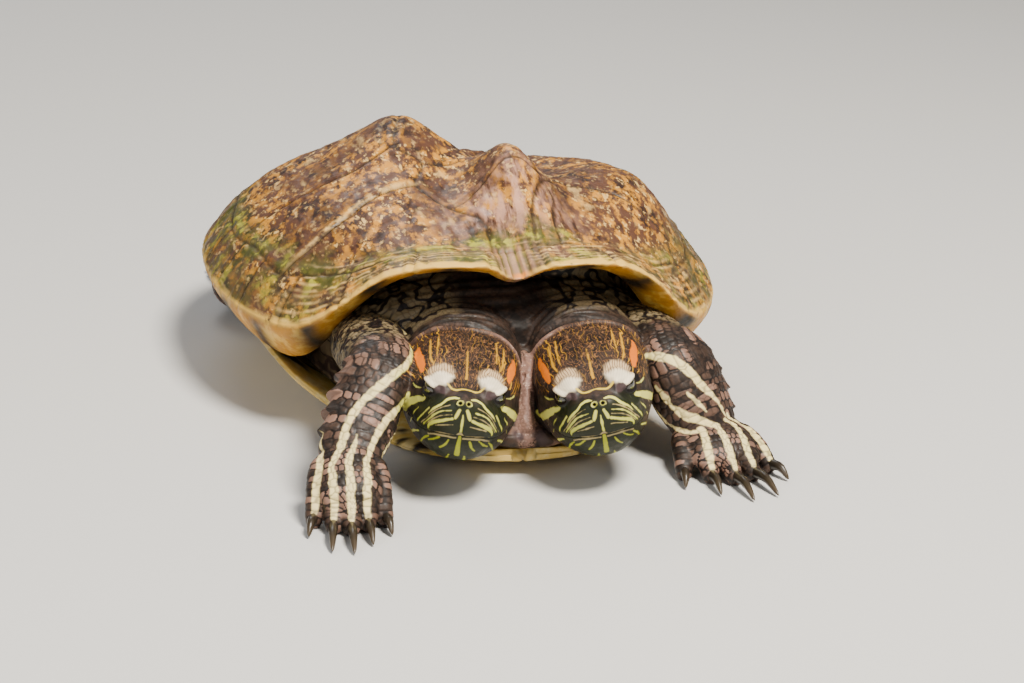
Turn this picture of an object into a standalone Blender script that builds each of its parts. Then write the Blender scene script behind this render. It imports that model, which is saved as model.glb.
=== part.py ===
"""Two-headed red-eared slider turtle at rest, life size, for Blender 4.5.

The animal faces -Y with +Z up and lies on its plastron, with the origin on the
floor under the middle of its belly. All lengths are in metres.

The shell is lofted from formulas. The flesh is modelled whole, as overlapping
tubes that a voxel remesh blends into one body, and is then parted by thin cuts.
"""

import math

import bmesh
import bpy
import numpy as np
from mathutils import Matrix, Vector

GAP = 0.0003
MERGE = 0.000001

# Carapace
CARAPACE_LENGTH = 0.160
CARAPACE_WIDTH = 0.134
WIDEST_Y = 0.0100
FRONT_REACH = CARAPACE_LENGTH / 2
REAR_REACH = CARAPACE_LENGTH / 2
OUTLINE_POWER = 2.35
DOME_HEIGHT = 0.0546
DOME_POWER = 4.2
RIM_SIDE_Z = 0.0278
RIM_FRONT_Z = 0.0495
RIM_REAR_Z = 0.0205
RIM_ARCH_ANGLE = 0.635
NUCHAL_DROP = 0.0040
NUCHAL_HALF_WIDTH = 0.0060
NUCHAL_NOTCH = 0.0035
MARGIN_FLARE = 0.0022
SHELL_THICKNESS = 0.0030
LIP_WIDTH = 0.0100
LIP_DROP = 0.0034
BRIDGE_LIP_DROP = 0.0085

# Swellings of the dome: x, y, half-widths across and along, and height
HUMPS = {
    "right_keel": (-0.0133, 0.0143, 0.0180, 0.0260, 0.0127),
    "left_keel": (0.0068, -0.0223, 0.0096, 0.0190, 0.0132),
    "front_ridge": (0.0035, -0.0430, 0.0095, 0.0150, 0.0047),
    "saddle": (-0.0058, -0.0060, 0.0080, 0.0240, -0.0027),
    "left_dip": (0.0156, 0.0261, 0.0180, 0.0280, -0.0075),
    "left_side": (0.0369, -0.0165, 0.0190, 0.0240, 0.0049),
    "left_flank": (0.0480, 0.0100, 0.0160, 0.0320, 0.0042),
    "right_side": (-0.0340, -0.0220, 0.0180, 0.0220, 0.0030),
    "right_flank": (-0.0480, 0.0420, 0.0160, 0.0300, 0.0016),
}

# Plastron
PLASTRON_FRONT_Y = -0.0820
PLASTRON_REAR_Y = 0.0760
LOBE_HALF_WIDTH = 0.0325
LOBE_LENGTHS = (0.050, 0.044)
BRIDGE_FRONT_Y = -0.0380
BRIDGE_REAR_Y = 0.0360
BRIDGE_TURN = 0.0080
BRIDGE_INSET = 0.0075
BRIDGE_HALF_WIDTH = 0.0590
BRIDGE_RISE = 0.0175
BELLY_HALF_WIDTH = 0.0300
BELLY_HALF_LENGTH = 0.0500
PLASTRON_THICKNESS = 0.0030
FRONT_LOBE_RISE = 0.0040
REAR_LOBE_RISE = 0.0030
ANAL_NOTCH = 0.0060

# Trunk, inside the shell
TRUNK_SHARE = 0.77
TRUNK_CLEARANCE = 0.0018
TRUNK_TOP_CLEARANCE = 0.0070
COLLAR_CENTRE = (-0.0010, -0.0430, 0.0260)
COLLAR_RADII = (0.0400, 0.0190, 0.0160)

# Heads
HEAD_LENGTH = 0.0400
# Distance from the snout, half-width, height over and depth under the head's axis
HEAD_STATIONS = (
    (-0.0002, 0.0026, 0.0022, 0.0024),
    (0.0008, 0.0050, 0.0036, 0.0050),
    (0.0030, 0.0072, 0.0046, 0.0090),
    (0.0060, 0.0089, 0.0056, 0.0122),
    (0.0100, 0.0106, 0.0070, 0.0140),
    (0.0150, 0.0123, 0.0082, 0.0143),
    (0.0220, 0.0136, 0.0096, 0.0137),
    (0.0300, 0.0138, 0.0106, 0.0128),
    (HEAD_LENGTH, 0.0134, 0.0106, 0.0120),
)
EYE_RADIUS = 0.0033
EYE_BACK = 0.0088
EYE_OUT = 0.0063
EYE_UP = 0.0036
ORBIT_RADII = (0.0040, 0.0050, 0.0042)
ORBIT_OUT = 0.0052

# Snout tip, then yaw, pitch and roll in degrees, and the root of each neck
HEADS = {
    "right": ((-0.0201, -0.1040, 0.0236), (-11.0, 0.0, 6.0), (-0.0120, -0.0420, 0.0270)),
    "left": ((0.0129, -0.1030, 0.0221), (-8.5, 3.0, -12.5), (0.0130, -0.0420, 0.0270)),
}
NECK_HALF_WIDTH = 0.0142
NECK_HALF_HEIGHT = 0.0126
NAPE_BACK = 0.0365

# Limbs: the joints of each, and the point that the foot reaches for
FRONT_LIMBS = {
    "right": {
        "root": (-0.0330, -0.0470, 0.0240),
        "middle": (-0.0350, -0.0790, 0.0275),
        "end": (-0.0455, -0.0975, 0.0120),
        "reach": (-0.0485, -0.1260, 0.0),
        "facing": (-0.10, -0.75, 0.65),
        "splay": 0.35,
        "girth": 0.90,
    },
    "left": {
        "root": (0.0330, -0.0450, 0.0220),
        "middle": (0.0405, -0.0670, 0.0225),
        "end": (0.0475, -0.0760, 0.0078),
        "reach": (0.0515, -0.1070, 0.0),
        "facing": (0.45, -0.60, 0.65),
        "splay": 0.60,
        "girth": 1.16,
    },
}
HIND_LIMBS = {
    "right": {
        "root": (-0.0330, 0.0480, 0.0140),
        "middle": (-0.0520, 0.0550, 0.0095),
        "end": (-0.0440, 0.0730, 0.0070),
        "reach": (-0.0420, 0.1000, 0.0),
        "facing": (0.0, 0.0, 1.0),
        "splay": 0.7,
        "girth": 1.0,
    },
    "left": {
        "root": (0.0330, 0.0480, 0.0140),
        "middle": (0.0560, 0.0490, 0.0095),
        "end": (0.0630, 0.0670, 0.0070),
        "reach": (0.0740, 0.0930, 0.0),
        "facing": (0.0, 0.0, 1.0),
        "splay": 1.0,
        "girth": 1.0,
    },
}
# Names of the segments, and half-width and half-thickness at each joint
FRONT = {
    "segments": ("upper_arm", "forearm", "hand"),
    "halves": ((0.0102, 0.0090), (0.0090, 0.0070), (0.0076, 0.0050)),
    "palm_length": 0.0102,
    "palm_halves": (0.0079, 0.0040),
    "spread": 0.0035,
    "digits": ((-30, 0.0045, 0.0055), (-12, 0.0068, 0.0080), (-2, 0.0080, 0.0110),
               (9, 0.0076, 0.0110), (30, 0.0048, 0.0060)),
    "digit_halves": (0.0026, 0.0024),
}
HIND = {
    "segments": ("thigh", "shin", "foot"),
    "halves": ((0.0110, 0.0088), (0.0085, 0.0075), (0.0066, 0.0056)),
    "palm_length": 0.0150,
    "palm_halves": (0.0100, 0.0038),
    "spread": 0.0046,
    "digits": ((-26, 0.0070, 0.0050), (-12, 0.0095, 0.0065), (1, 0.0105, 0.0070),
               (14, 0.0095, 0.0060), (30, 0.0060, 0.0)),
    "digit_halves": (0.0027, 0.0023),
}
CLAW_HALVES = (0.00115, 0.00140)
CLAW_ROOT = 0.0018
CLAW_TIP_Z = 0.0007
BLADE_HALF_WIDTH = 0.0160
FOOT_FLAT_Z = 0.0

# Tail: centre and half-thickness along its length
TAIL_STATIONS = (
    (0.0000, 0.0560, 0.0160, 0.0080),
    (0.0020, 0.0740, 0.0125, 0.0058),
    (0.0080, 0.0930, 0.0060, 0.0042),
    (0.0170, 0.1070, 0.0030, 0.0028),
    (0.0250, 0.1160, 0.0014, 0.0013),
)
TAIL_CUT_Y = 0.0765

# Mesh densities
ROUND_SIDES = 44
DOME_RINGS = 10
INNER_RINGS = 3
VOXEL = 0.0009
CORE_TRIANGLES = 1600
FRONT_LIMB_TRIANGLES = 420
HIND_LIMB_TRIANGLES = 340

COLOURS = {
    "carapace": ((0.24, 0.13, 0.06), 0.35),
    "plastron": ((0.62, 0.45, 0.10), 0.40),
    "skin": ((0.10, 0.085, 0.06), 0.50),
    "eye": ((0.03, 0.03, 0.02), 0.10),
    "claw": ((0.07, 0.05, 0.03), 0.25),
}


def clear_scene():
    """Leave nothing in the file but what this script makes."""
    for item in list(bpy.data.objects):
        bpy.data.objects.remove(item)


def make_collection(name):
    """A new collection in the scene."""
    made = bpy.data.collections.new(name)
    bpy.context.scene.collection.children.link(made)
    return made


def make_material(name):
    """A Principled material with the finish that COLOURS gives."""
    colour, roughness = COLOURS[name]
    material = bpy.data.materials.new(name)
    material.use_nodes = True
    shader = material.node_tree.nodes["Principled BSDF"]
    shader.inputs["Base Color"].default_value = (*colour, 1.0)
    shader.inputs["Roughness"].default_value = roughness
    shader.inputs["Metallic"].default_value = 0.0
    return material


# ---------------------------------------------------------------- curves and lofts


def smoothstep(low, high, value):
    """0 under low, 1 over high, and a smooth rise between."""
    share = min(max((value - low) / (high - low), 0.0), 1.0)
    return share * share * (3.0 - 2.0 * share)


def signed_power(value, power):
    """The power of a number's size, with its sign kept."""
    return math.copysign(abs(value) ** power, value)


def spline(stations, count):
    """Points read evenly from a smooth curve through rows of numbers."""
    rows = np.array(stations, float)
    ends = np.vstack([2 * rows[0] - rows[1], rows, 2 * rows[-1] - rows[-2]])
    out = []
    for position in np.linspace(0, len(rows) - 1, count):
        span = min(int(position), len(rows) - 2)
        t = position - span
        a, b, c, d = ends[span : span + 4]
        out.append(0.5 * (2 * b + (c - a) * t + (2 * a - 5 * b + 4 * c - d) * t**2
                          + (3 * b - a - 3 * c + d) * t**3))
    return out


def section(centre, across, up, half_width, top, bottom, sides, power=2.2):
    """One ring of a loft: a superellipse with its own height over and under the axis."""
    ring = []
    for step in range(sides):
        angle = 2 * math.pi * step / sides
        x = half_width * signed_power(math.cos(angle), 2 / power)
        z = signed_power(math.sin(angle), 2 / power)
        ring.append(centre + across * x + up * (z * (top if z > 0 else bottom)))
    return ring


def loft(rings):
    """A closed mesh through rings with as many points each, with flat ends."""
    mesh = bmesh.new()
    rows = [[mesh.verts.new(point) for point in ring] for ring in rings]
    for first, second in zip(rows, rows[1:]):
        for i in range(len(first)):
            j = (i + 1) % len(first)
            mesh.faces.new((first[i], first[j], second[j], second[i]))
    mesh.faces.new(rows[0][::-1])
    mesh.faces.new(rows[-1])
    return close_normals(mesh)


def close_normals(mesh):
    """Point every face of a bmesh outwards."""
    bmesh.ops.recalc_face_normals(mesh, faces=mesh.faces)
    return mesh


def tube(stations, facing, count=10, sides=14, power=2.2):
    """A bent tube. Each station is a centre and two half-sizes, across and along facing."""
    rows = spline(stations, count)
    rings = []
    for i, row in enumerate(rows):
        ahead = Vector(rows[min(i + 1, count - 1)][:3]) - Vector(rows[max(i - 1, 0)][:3])
        ahead.normalize()
        up = Vector(facing) - ahead * ahead.dot(Vector(facing))
        up.normalize()
        rings.append(section(Vector(row[:3]), ahead.cross(up), up, row[3], row[4], row[4],
                             sides, power))
    return loft(rings)


def ellipsoid(centre, radii, matrix=None, segments=20):
    """A closed ellipsoid."""
    mesh = bmesh.new()
    place = (matrix or Matrix()) @ Matrix.Translation(centre) @ Matrix.Diagonal((*radii, 1))
    bmesh.ops.create_uvsphere(mesh, u_segments=segments, v_segments=segments // 2, radius=1,
                              matrix=place)
    return mesh


def box(low, high, matrix=None):
    """A closed box between two corners."""
    mesh = bmesh.new()
    low, high = Vector(low), Vector(high)
    size = Matrix.Diagonal((*(high - low), 1))
    place = (matrix or Matrix()) @ Matrix.Translation((low + high) / 2) @ size
    bmesh.ops.create_cube(mesh, size=1, matrix=place)
    return mesh


# ---------------------------------------------------------------- objects


def add_object(name, meshes, collection, material=None):
    """One object that holds all these bmeshes, which it frees."""
    data = bpy.data.meshes.new(name)
    joined = bmesh.new()
    for mesh in meshes:
        piece = bpy.data.meshes.new("piece")
        mesh.to_mesh(piece)
        mesh.free()
        joined.from_mesh(piece)
        bpy.data.meshes.remove(piece)
    joined.to_mesh(data)
    joined.free()
    made = bpy.data.objects.new(name, data)
    collection.objects.link(made)
    if material:
        data.materials.append(material)
    return made


def as_cutter(item):
    """Keep an object out of the render, as a tool."""
    item.hide_render = True
    item.display_type = "WIRE"
    return item


def apply_modifiers(item):
    """Turn an object's mesh into what its modifiers make of it."""
    graph = bpy.context.evaluated_depsgraph_get()
    graph.update()
    data = bpy.data.meshes.new_from_object(item.evaluated_get(graph))
    item.modifiers.clear()
    item.data = data
    return item


def cut(item, cutter):
    """Cut an object with a closed one, at once."""
    modifier = item.modifiers.new("cut", "BOOLEAN")
    modifier.operation = "DIFFERENCE"
    modifier.solver = "EXACT"
    modifier.object = cutter
    return apply_modifiers(item)


def swell(item, amount):
    """Move an object's surface outwards by a fixed distance, at once."""
    modifier = item.modifiers.new("swell", "DISPLACE")
    modifier.strength = amount
    modifier.mid_level = 0.0
    return apply_modifiers(item)


def copy_of(item, name, collection):
    """A second object with its own copy of the mesh."""
    made = bpy.data.objects.new(name, item.data.copy())
    collection.objects.link(made)
    return made


# ---------------------------------------------------------------- shell


def outline_point(angle):
    """The carapace's edge in plan. Angle 0 is at the nuchal scute, and grows to the left."""
    ahead, side = math.cos(angle), math.sin(angle)
    reach = FRONT_REACH if ahead > 0 else REAR_REACH
    x = CARAPACE_WIDTH / 2 * signed_power(side, 2 / OUTLINE_POWER)
    y = WIDEST_Y - reach * signed_power(ahead, 2 / OUTLINE_POWER)
    if ahead > 0:
        y += NUCHAL_NOTCH * math.exp(-((x / NUCHAL_HALF_WIDTH) ** 2))
    return Vector((x, y, 0.0))


def rim_height(angle):
    """Height of the carapace's edge: arched over the heads, and low at the back."""
    turned = math.remainder(angle, 2 * math.pi)
    arch = math.exp(-((turned / RIM_ARCH_ANGLE) ** 4))
    back = smoothstep(1.9, math.pi, abs(turned))
    x = outline_point(angle).x
    height = RIM_SIDE_Z + (RIM_FRONT_Z - RIM_SIDE_Z) * arch + (RIM_REAR_Z - RIM_SIDE_Z) * back
    if abs(turned) < 1.0:
        height -= NUCHAL_DROP * math.exp(-((x / NUCHAL_HALF_WIDTH) ** 2))
    return height


def humps_at(x, y):
    """What the keels and shoulders add to the dome's height."""
    total = 0.0
    for hump_x, hump_y, across, along, height in HUMPS.values():
        total += height * math.exp(-(((x - hump_x) / across) ** 2) - ((y - hump_y) / along) ** 2)
    return total


def dome_point(share, angle):
    """A point on the carapace's outer face, from the middle (share 0) to the edge (1)."""
    edge = outline_point(angle)
    middle = Vector((0.0, WIDEST_Y, 0.0))
    place = middle.lerp(edge, share)
    rim = rim_height(angle)
    rise = (DOME_HEIGHT - rim) * (1 - share**DOME_POWER)
    flare = MARGIN_FLARE * (smoothstep(0.78, 1.0, share) - smoothstep(0.0, 0.9, share))
    fade = 1 - smoothstep(0.75, 1.0, share)
    place.z = rim + rise + flare + humps_at(place.x, place.y) * fade
    return place


def bridge_share(angle):
    """1 beside the bridge, 0 at the front and the back."""
    turned = abs(math.remainder(angle, 2 * math.pi))
    return smoothstep(0.80, 1.10, turned) * (1 - smoothstep(1.75, 2.10, turned))


def lip_point(inset, drop, angle):
    """A point on the underside of the marginal scutes."""
    edge = outline_point(angle)
    inward = Vector((0.0, WIDEST_Y, 0.0)) - edge
    place = edge + inward.normalized() * inset
    place.z = rim_height(angle) - drop
    return place


def carapace_mesh():
    """The domed upper shell, with its marginal lip and hollow inside."""
    angles = [2 * math.pi * (i + 0.5) / ROUND_SIDES for i in range(ROUND_SIDES)]
    shares = [(i / DOME_RINGS) ** 0.85 for i in range(1, DOME_RINGS + 1)]
    rings = [[dome_point(share, angle) for angle in angles] for share in shares]
    for inset_share, drop_share in ((0.04, 0.25), (0.45, 0.75), (0.90, 1.0), (1.15, 0.70)):
        ring = []
        for angle in angles:
            drop = LIP_DROP + (BRIDGE_LIP_DROP - LIP_DROP) * bridge_share(angle)
            ring.append(lip_point(LIP_WIDTH * inset_share, drop * drop_share, angle))
        rings.append(ring)
    down = Vector((0.0, 0.0, SHELL_THICKNESS))
    for i in range(INNER_RINGS):
        share = 0.80 * (1 - i / INNER_RINGS)
        rings.append([dome_point(share, angle) - down for angle in angles])
    mesh = bmesh.new()
    rows = [[mesh.verts.new(point) for point in ring] for ring in rings]
    for first, second in zip(rows, rows[1:]):
        for i in range(ROUND_SIDES):
            j = (i + 1) % ROUND_SIDES
            mesh.faces.new((first[i], first[j], second[j], second[i]))
    top = mesh.verts.new(dome_point(0.0, 0.0))
    under = mesh.verts.new(dome_point(0.0, 0.0) - down)
    for pole, row in ((top, rows[0]), (under, rows[-1])):
        for i in range(ROUND_SIDES):
            mesh.faces.new((pole, row[i], row[(i + 1) % ROUND_SIDES]))
    return close_normals(mesh)


def carapace_half_width(y):
    """Half of the carapace's width in plan at a distance along it."""
    reach = FRONT_REACH if y < WIDEST_Y else REAR_REACH
    share = min(abs(y - WIDEST_Y) / reach, 1.0)
    return CARAPACE_WIDTH / 2 * (1 - share**OUTLINE_POWER) ** (1 / OUTLINE_POWER)


def plastron_half_width(y):
    """Half of the plastron's width in plan: two lobes, and the bridges between them."""
    front_length, rear_length = LOBE_LENGTHS
    if y < 0:
        end_share = (PLASTRON_FRONT_Y + front_length - y) / front_length
    else:
        end_share = (y - PLASTRON_REAR_Y + rear_length) / rear_length
    lobe = LOBE_HALF_WIDTH * max(1 - max(end_share, 0.0) ** 2.6, 0.004) ** (1 / 2.3)
    edge = min(carapace_half_width(y) - BRIDGE_INSET, BRIDGE_HALF_WIDTH)
    bridge = smoothstep(BRIDGE_FRONT_Y - BRIDGE_TURN, BRIDGE_FRONT_Y + BRIDGE_TURN, y)
    bridge *= 1 - smoothstep(BRIDGE_REAR_Y - BRIDGE_TURN, BRIDGE_REAR_Y + BRIDGE_TURN, y)
    return lobe + (edge - lobe) * bridge


def plastron_height(x, y):
    """Height of the plastron's underside: flat at the belly, rising to bridges and ends."""
    side = max(abs(x) - BELLY_HALF_WIDTH, 0.0) / (BRIDGE_HALF_WIDTH - BELLY_HALF_WIDTH)
    front = max(-BELLY_HALF_LENGTH - y, 0.0) / (-BELLY_HALF_LENGTH - PLASTRON_FRONT_Y)
    rear = max(y - BELLY_HALF_LENGTH, 0.0) / (PLASTRON_REAR_Y - BELLY_HALF_LENGTH)
    return BRIDGE_RISE * side**1.4 + FRONT_LOBE_RISE * front**1.6 + REAR_LOBE_RISE * rear**1.6


def plastron_rows():
    """Places along the plastron, closer together at the ends and the bridges' corners."""
    front_end = PLASTRON_FRONT_Y + 0.024 * np.linspace(0, 1, 6) ** 2.2
    front_turn = np.linspace(BRIDGE_FRONT_Y - BRIDGE_TURN, BRIDGE_FRONT_Y + BRIDGE_TURN, 4)
    middle = np.linspace(-BELLY_HALF_LENGTH / 3, BELLY_HALF_LENGTH / 3, 2)
    rear_turn = np.linspace(BRIDGE_REAR_Y - BRIDGE_TURN, BRIDGE_REAR_Y + BRIDGE_TURN, 4)
    rear_end = PLASTRON_REAR_Y - 0.022 * np.linspace(1, 0, 6) ** 2.2
    return np.concatenate([front_end, front_turn, middle, rear_turn, rear_end])


def plastron_mesh():
    """The lower shell: a plate with two lobes and the bridges that rise to the carapace."""
    belly = BELLY_HALF_WIDTH / BRIDGE_HALF_WIDTH
    shares = [-1, -0.84, -0.68, -belly, -0.2, 0.2, belly, 0.68, 0.84, 1]
    rings = []
    for y in plastron_rows():
        half = plastron_half_width(y)
        rear_share = max(y - 0.060, 0.0) / (PLASTRON_REAR_Y - 0.060)
        under, over = [], []
        for share in shares:
            x = half * share
            notch = ANAL_NOTCH * rear_share * max(1 - abs(x) / 0.012, 0.0)
            z = plastron_height(x, y)
            under.append(Vector((x, y - notch, z)))
            over.append(Vector((x * 0.985, y * 0.995 - notch, z + PLASTRON_THICKNESS)))
        rings.append(under + over[::-1])
    return loft(rings)


def trunk_mesh():
    """The body inside the shell, a little smaller than the hollow on every side."""
    angles = [2 * math.pi * (i + 0.5) / 40 for i in range(40)]
    top_drop = SHELL_THICKNESS + TRUNK_TOP_CLEARANCE
    rings = []
    for share in (0.30, 0.60, 0.84, 0.96):
        ring = []
        for angle in angles:
            point = dome_point(TRUNK_SHARE * share, angle)
            point.z -= top_drop
            ring.append(point)
        rings.append(ring)
    for share in (1.0, 0.96, 0.84, 0.60, 0.30):
        ring = []
        for angle in angles:
            point = dome_point(TRUNK_SHARE * share, angle)
            floor = plastron_height(point.x, point.y) + PLASTRON_THICKNESS + TRUNK_CLEARANCE
            if share == 1.0:
                point.z = (point.z - top_drop + floor) / 2
            else:
                point.z = floor
            ring.append(point)
        rings.append(ring)
    return loft(rings)


# ---------------------------------------------------------------- flesh


def head_frame(side):
    """The matrix of a head: origin at the snout, -Y ahead, +X to its left."""
    snout, (yaw, pitch, roll), _ = HEADS[side]
    turn = Matrix.Rotation(math.radians(yaw), 4, "Z")
    turn = turn @ Matrix.Rotation(math.radians(pitch), 4, "X")
    turn = turn @ Matrix.Rotation(math.radians(roll), 4, "Y")
    return Matrix.Translation(snout) @ turn


def head_mesh(side):
    """Snout, jaws and skull as one loft along the head's axis."""
    frame = head_frame(side)
    across = frame.to_3x3() @ Vector((1, 0, 0))
    up = frame.to_3x3() @ Vector((0, 0, 1))
    rings = []
    for back, half_width, top, bottom in spline(HEAD_STATIONS, 24):
        centre = frame @ Vector((0, back, 0))
        rings.append(section(centre, across, up, half_width, top, bottom, 24, 2.3))
    return loft(rings)


def eye_mesh(side, eye_side):
    """An eyeball. eye_side is +1 on the head's left."""
    place = (EYE_OUT * eye_side, EYE_BACK, EYE_UP)
    return ellipsoid(place, (EYE_RADIUS,) * 3, head_frame(side), 12)


def orbit_mesh(side, eye_side):
    """The lids and brow that swell round an eye."""
    place = (ORBIT_OUT * eye_side, EYE_BACK + 0.0002, EYE_UP - 0.0001)
    return ellipsoid(place, ORBIT_RADII, head_frame(side))


def neck_mesh(side):
    """A neck, from the skull back into the shell, with its loose skin."""
    frame = head_frame(side)
    nape = frame @ Vector((0, NAPE_BACK - 0.003, -0.0006))
    collar = frame @ Vector((0, NAPE_BACK + 0.005, -0.0004))
    stations = [(*nape, 0.0132, 0.0108), (*collar, NECK_HALF_WIDTH, NECK_HALF_HEIGHT),
                (*HEADS[side][2], NECK_HALF_WIDTH, NECK_HALF_HEIGHT)]
    return tube(stations, (0, 0, 1), 9, 20)


def limb_mesh(joints, halves):
    """The upper and lower segments of a limb as one tube."""
    halves = [[half * joints["girth"] for half in pair] for pair in halves]
    root, middle, end = (Vector(joints[name]) for name in ("root", "middle", "end"))
    stations = [(*root, *halves[0]),
                (*root.lerp(middle, 0.55), halves[0][0] * 0.93, halves[0][1] * 0.95),
                (*middle, *halves[1]),
                (*middle.lerp(end, 0.5), halves[1][0] * 1.02, halves[1][1] * 0.93),
                (*end, *halves[2])]
    return tube(stations, joints["facing"], 15, 16)


def foot_axes(joints):
    """The directions of a hand or foot: ahead, to its left, and up."""
    ahead = (Vector(joints["reach"]) - Vector(joints["end"])).normalized()
    left = Vector((0, 0, 1)).cross(ahead).normalized()
    return ahead, left, ahead.cross(left)


def claw_path(tip, ahead, half_width, length):
    """Stations along a claw, which arches from the fingertip down to just over the floor."""
    flat = Vector((ahead.x, ahead.y, 0)).normalized()
    root = tip + flat * (half_width * 0.55 - CLAW_ROOT) + Vector((0, 0, 0.0004))
    bend = root + flat * (CLAW_ROOT + length * 0.45) + Vector((0, 0, 0.0005))
    end = root + flat * (CLAW_ROOT + length)
    end.z = CLAW_TIP_Z
    width, height = CLAW_HALVES
    return [(*root, width, height), (*bend, width * 0.85, height * 0.80), (*end, 0.00035, 0.00042)]


def foot_meshes(joints, plan, mirror):
    """The palm and digits of a hand or foot, and the claws' stations by number."""
    slope, left, up = foot_axes(joints)
    start = Vector(joints["end"])
    knuckles = start + slope * plan["palm_length"]
    width, thick = plan["palm_halves"]
    width *= joints["girth"]
    spread = plan["spread"] * joints["girth"] * mirror
    palm = [(*(start - slope * 0.004), width * 0.80, thick * 1.25),
            (*start.lerp(knuckles, 0.5), width * 0.98, thick * 1.15),
            (*knuckles, width, thick), (*(knuckles + slope * 0.004), width * 0.86, thick * 0.55)]
    flesh = [tube(palm, up, 8, 16)]
    claws = {}
    middle = (len(plan["digits"]) - 1) / 2
    half_width, half_height = plan["digit_halves"]
    for number, (splay, length, claw_length) in enumerate(plan["digits"]):
        ahead = Matrix.Rotation(math.radians(splay * joints["splay"] * mirror), 3, up) @ slope
        offset = number - middle
        base = knuckles - slope * (0.005 + 0.001 * abs(offset)) + left * (offset * spread)
        tip = base + ahead * (length + 0.005)
        tip.z = half_height * 0.80
        knuckle = base.lerp(tip, 0.55) + up * 0.0010
        flesh.append(tube([(*base, half_width * 1.1, half_height * 1.1),
                           (*knuckle, half_width, half_height),
                           (*tip, half_width * 0.78, half_height * 0.90)], up, 7, 10))
        flesh.append(ellipsoid(tip, (half_width * 0.78, half_width * 0.78, half_height * 0.90)))
        if claw_length:
            claws[number + 1] = claw_path(tip, ahead, half_width, claw_length)
    return flesh, claws


def blend(name, meshes, tools, triangles):
    """One smooth closed body from overlapping meshes, with about so many triangles."""
    body = add_object(name, meshes, tools)
    remesh = body.modifiers.new("blend", "REMESH")
    remesh.mode = "VOXEL"
    remesh.voxel_size = VOXEL
    smooth = body.modifiers.new("round", "SMOOTH")
    smooth.factor = 0.5
    smooth.iterations = 5
    apply_modifiers(body)
    thin = body.modifiers.new("thin", "DECIMATE")
    thin.ratio = triangles / sum(len(face.vertices) - 2 for face in body.data.polygons)
    apply_modifiers(body)
    for vertex in body.data.vertices:
        vertex.co.z = max(vertex.co.z, FOOT_FLAT_Z)
    return body


def core_body(tools):
    """Trunk, necks, heads and tail as one body."""
    pieces = [trunk_mesh(), ellipsoid(COLLAR_CENTRE, COLLAR_RADII, segments=28)]
    for side in HEADS:
        pieces += [head_mesh(side), neck_mesh(side), orbit_mesh(side, 1), orbit_mesh(side, -1)]
    pieces.append(tube([(*row, row[3]) for row in TAIL_STATIONS], (0, 0, 1), 12, 12))
    return blend("core", pieces, tools, CORE_TRIANGLES)


# ---------------------------------------------------------------- parting


def blade(place, direction, half_width, half_height=None):
    """A thin upright plate, square to a direction, that parts a body in two."""
    forward = Vector(direction).normalized()
    turn = forward.to_track_quat("Y", "Z").to_matrix().to_4x4()
    reach = Vector((half_width, GAP / 2, half_height or half_width))
    return box(-reach, reach, Matrix.Translation(place) @ turn)


def cut_with(item, mesh, tools):
    """Cut an object with a bmesh that nothing else needs."""
    cutter = as_cutter(add_object("blade", [mesh], tools))
    cut(item, cutter)
    bpy.data.objects.remove(cutter)


def cut_clear(item, others, tools):
    """Cut away what of an object lies in others, or closer to them than the gap."""
    for other in others:
        cutter = as_cutter(copy_of(other, "clearance", tools))
        swell(cutter, GAP)
        cut(item, cutter)
        bpy.data.objects.remove(cutter)


def loose_bodies(item):
    """The separate bodies of a mesh as bmeshes, largest first."""
    whole = bmesh.new()
    whole.from_mesh(item.data)
    bmesh.ops.remove_doubles(whole, verts=whole.verts, dist=MERGE)
    unseen = set(whole.verts)
    groups = []
    while unseen:
        stack = [unseen.pop()]
        group = set(stack)
        while stack:
            for edge in stack.pop().link_edges:
                for vertex in edge.verts:
                    if vertex in unseen:
                        unseen.discard(vertex)
                        group.add(vertex)
                        stack.append(vertex)
        groups.append(group)
    bodies = []
    for group in groups:
        body = whole.copy()
        body.verts.ensure_lookup_table()
        keep = {vertex.index for vertex in group}
        bmesh.ops.delete(body, geom=[vertex for vertex in body.verts if vertex.index not in keep],
                         context="VERTS")
        bodies.append(body)
    whole.free()
    return sorted(bodies, key=lambda body: -body.calc_volume())


def part_into(item, labels, collection, material):
    """Give each body of a parted object the name whose place lies nearest to its middle."""
    bodies = loose_bodies(item)
    for body in bodies[len(labels):]:
        body.free()
    bodies = bodies[: len(labels)]
    left = dict(labels)
    for body in bodies:
        middle = sum((vertex.co for vertex in body.verts), Vector()) / len(body.verts)
        name = min(left, key=lambda label: (Vector(left[label]) - middle).length)
        del left[name]
        tidy(body)
        add_object(name, [body], collection, material)
    bpy.data.objects.remove(item)


def tidy(mesh):
    """Remove faces of no size, close what that opens, and leave only triangles."""
    bmesh.ops.dissolve_degenerate(mesh, dist=MERGE, edges=mesh.edges)
    bmesh.ops.holes_fill(mesh, edges=mesh.edges)
    bmesh.ops.triangulate(mesh, faces=mesh.faces)
    close_normals(mesh)


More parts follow.
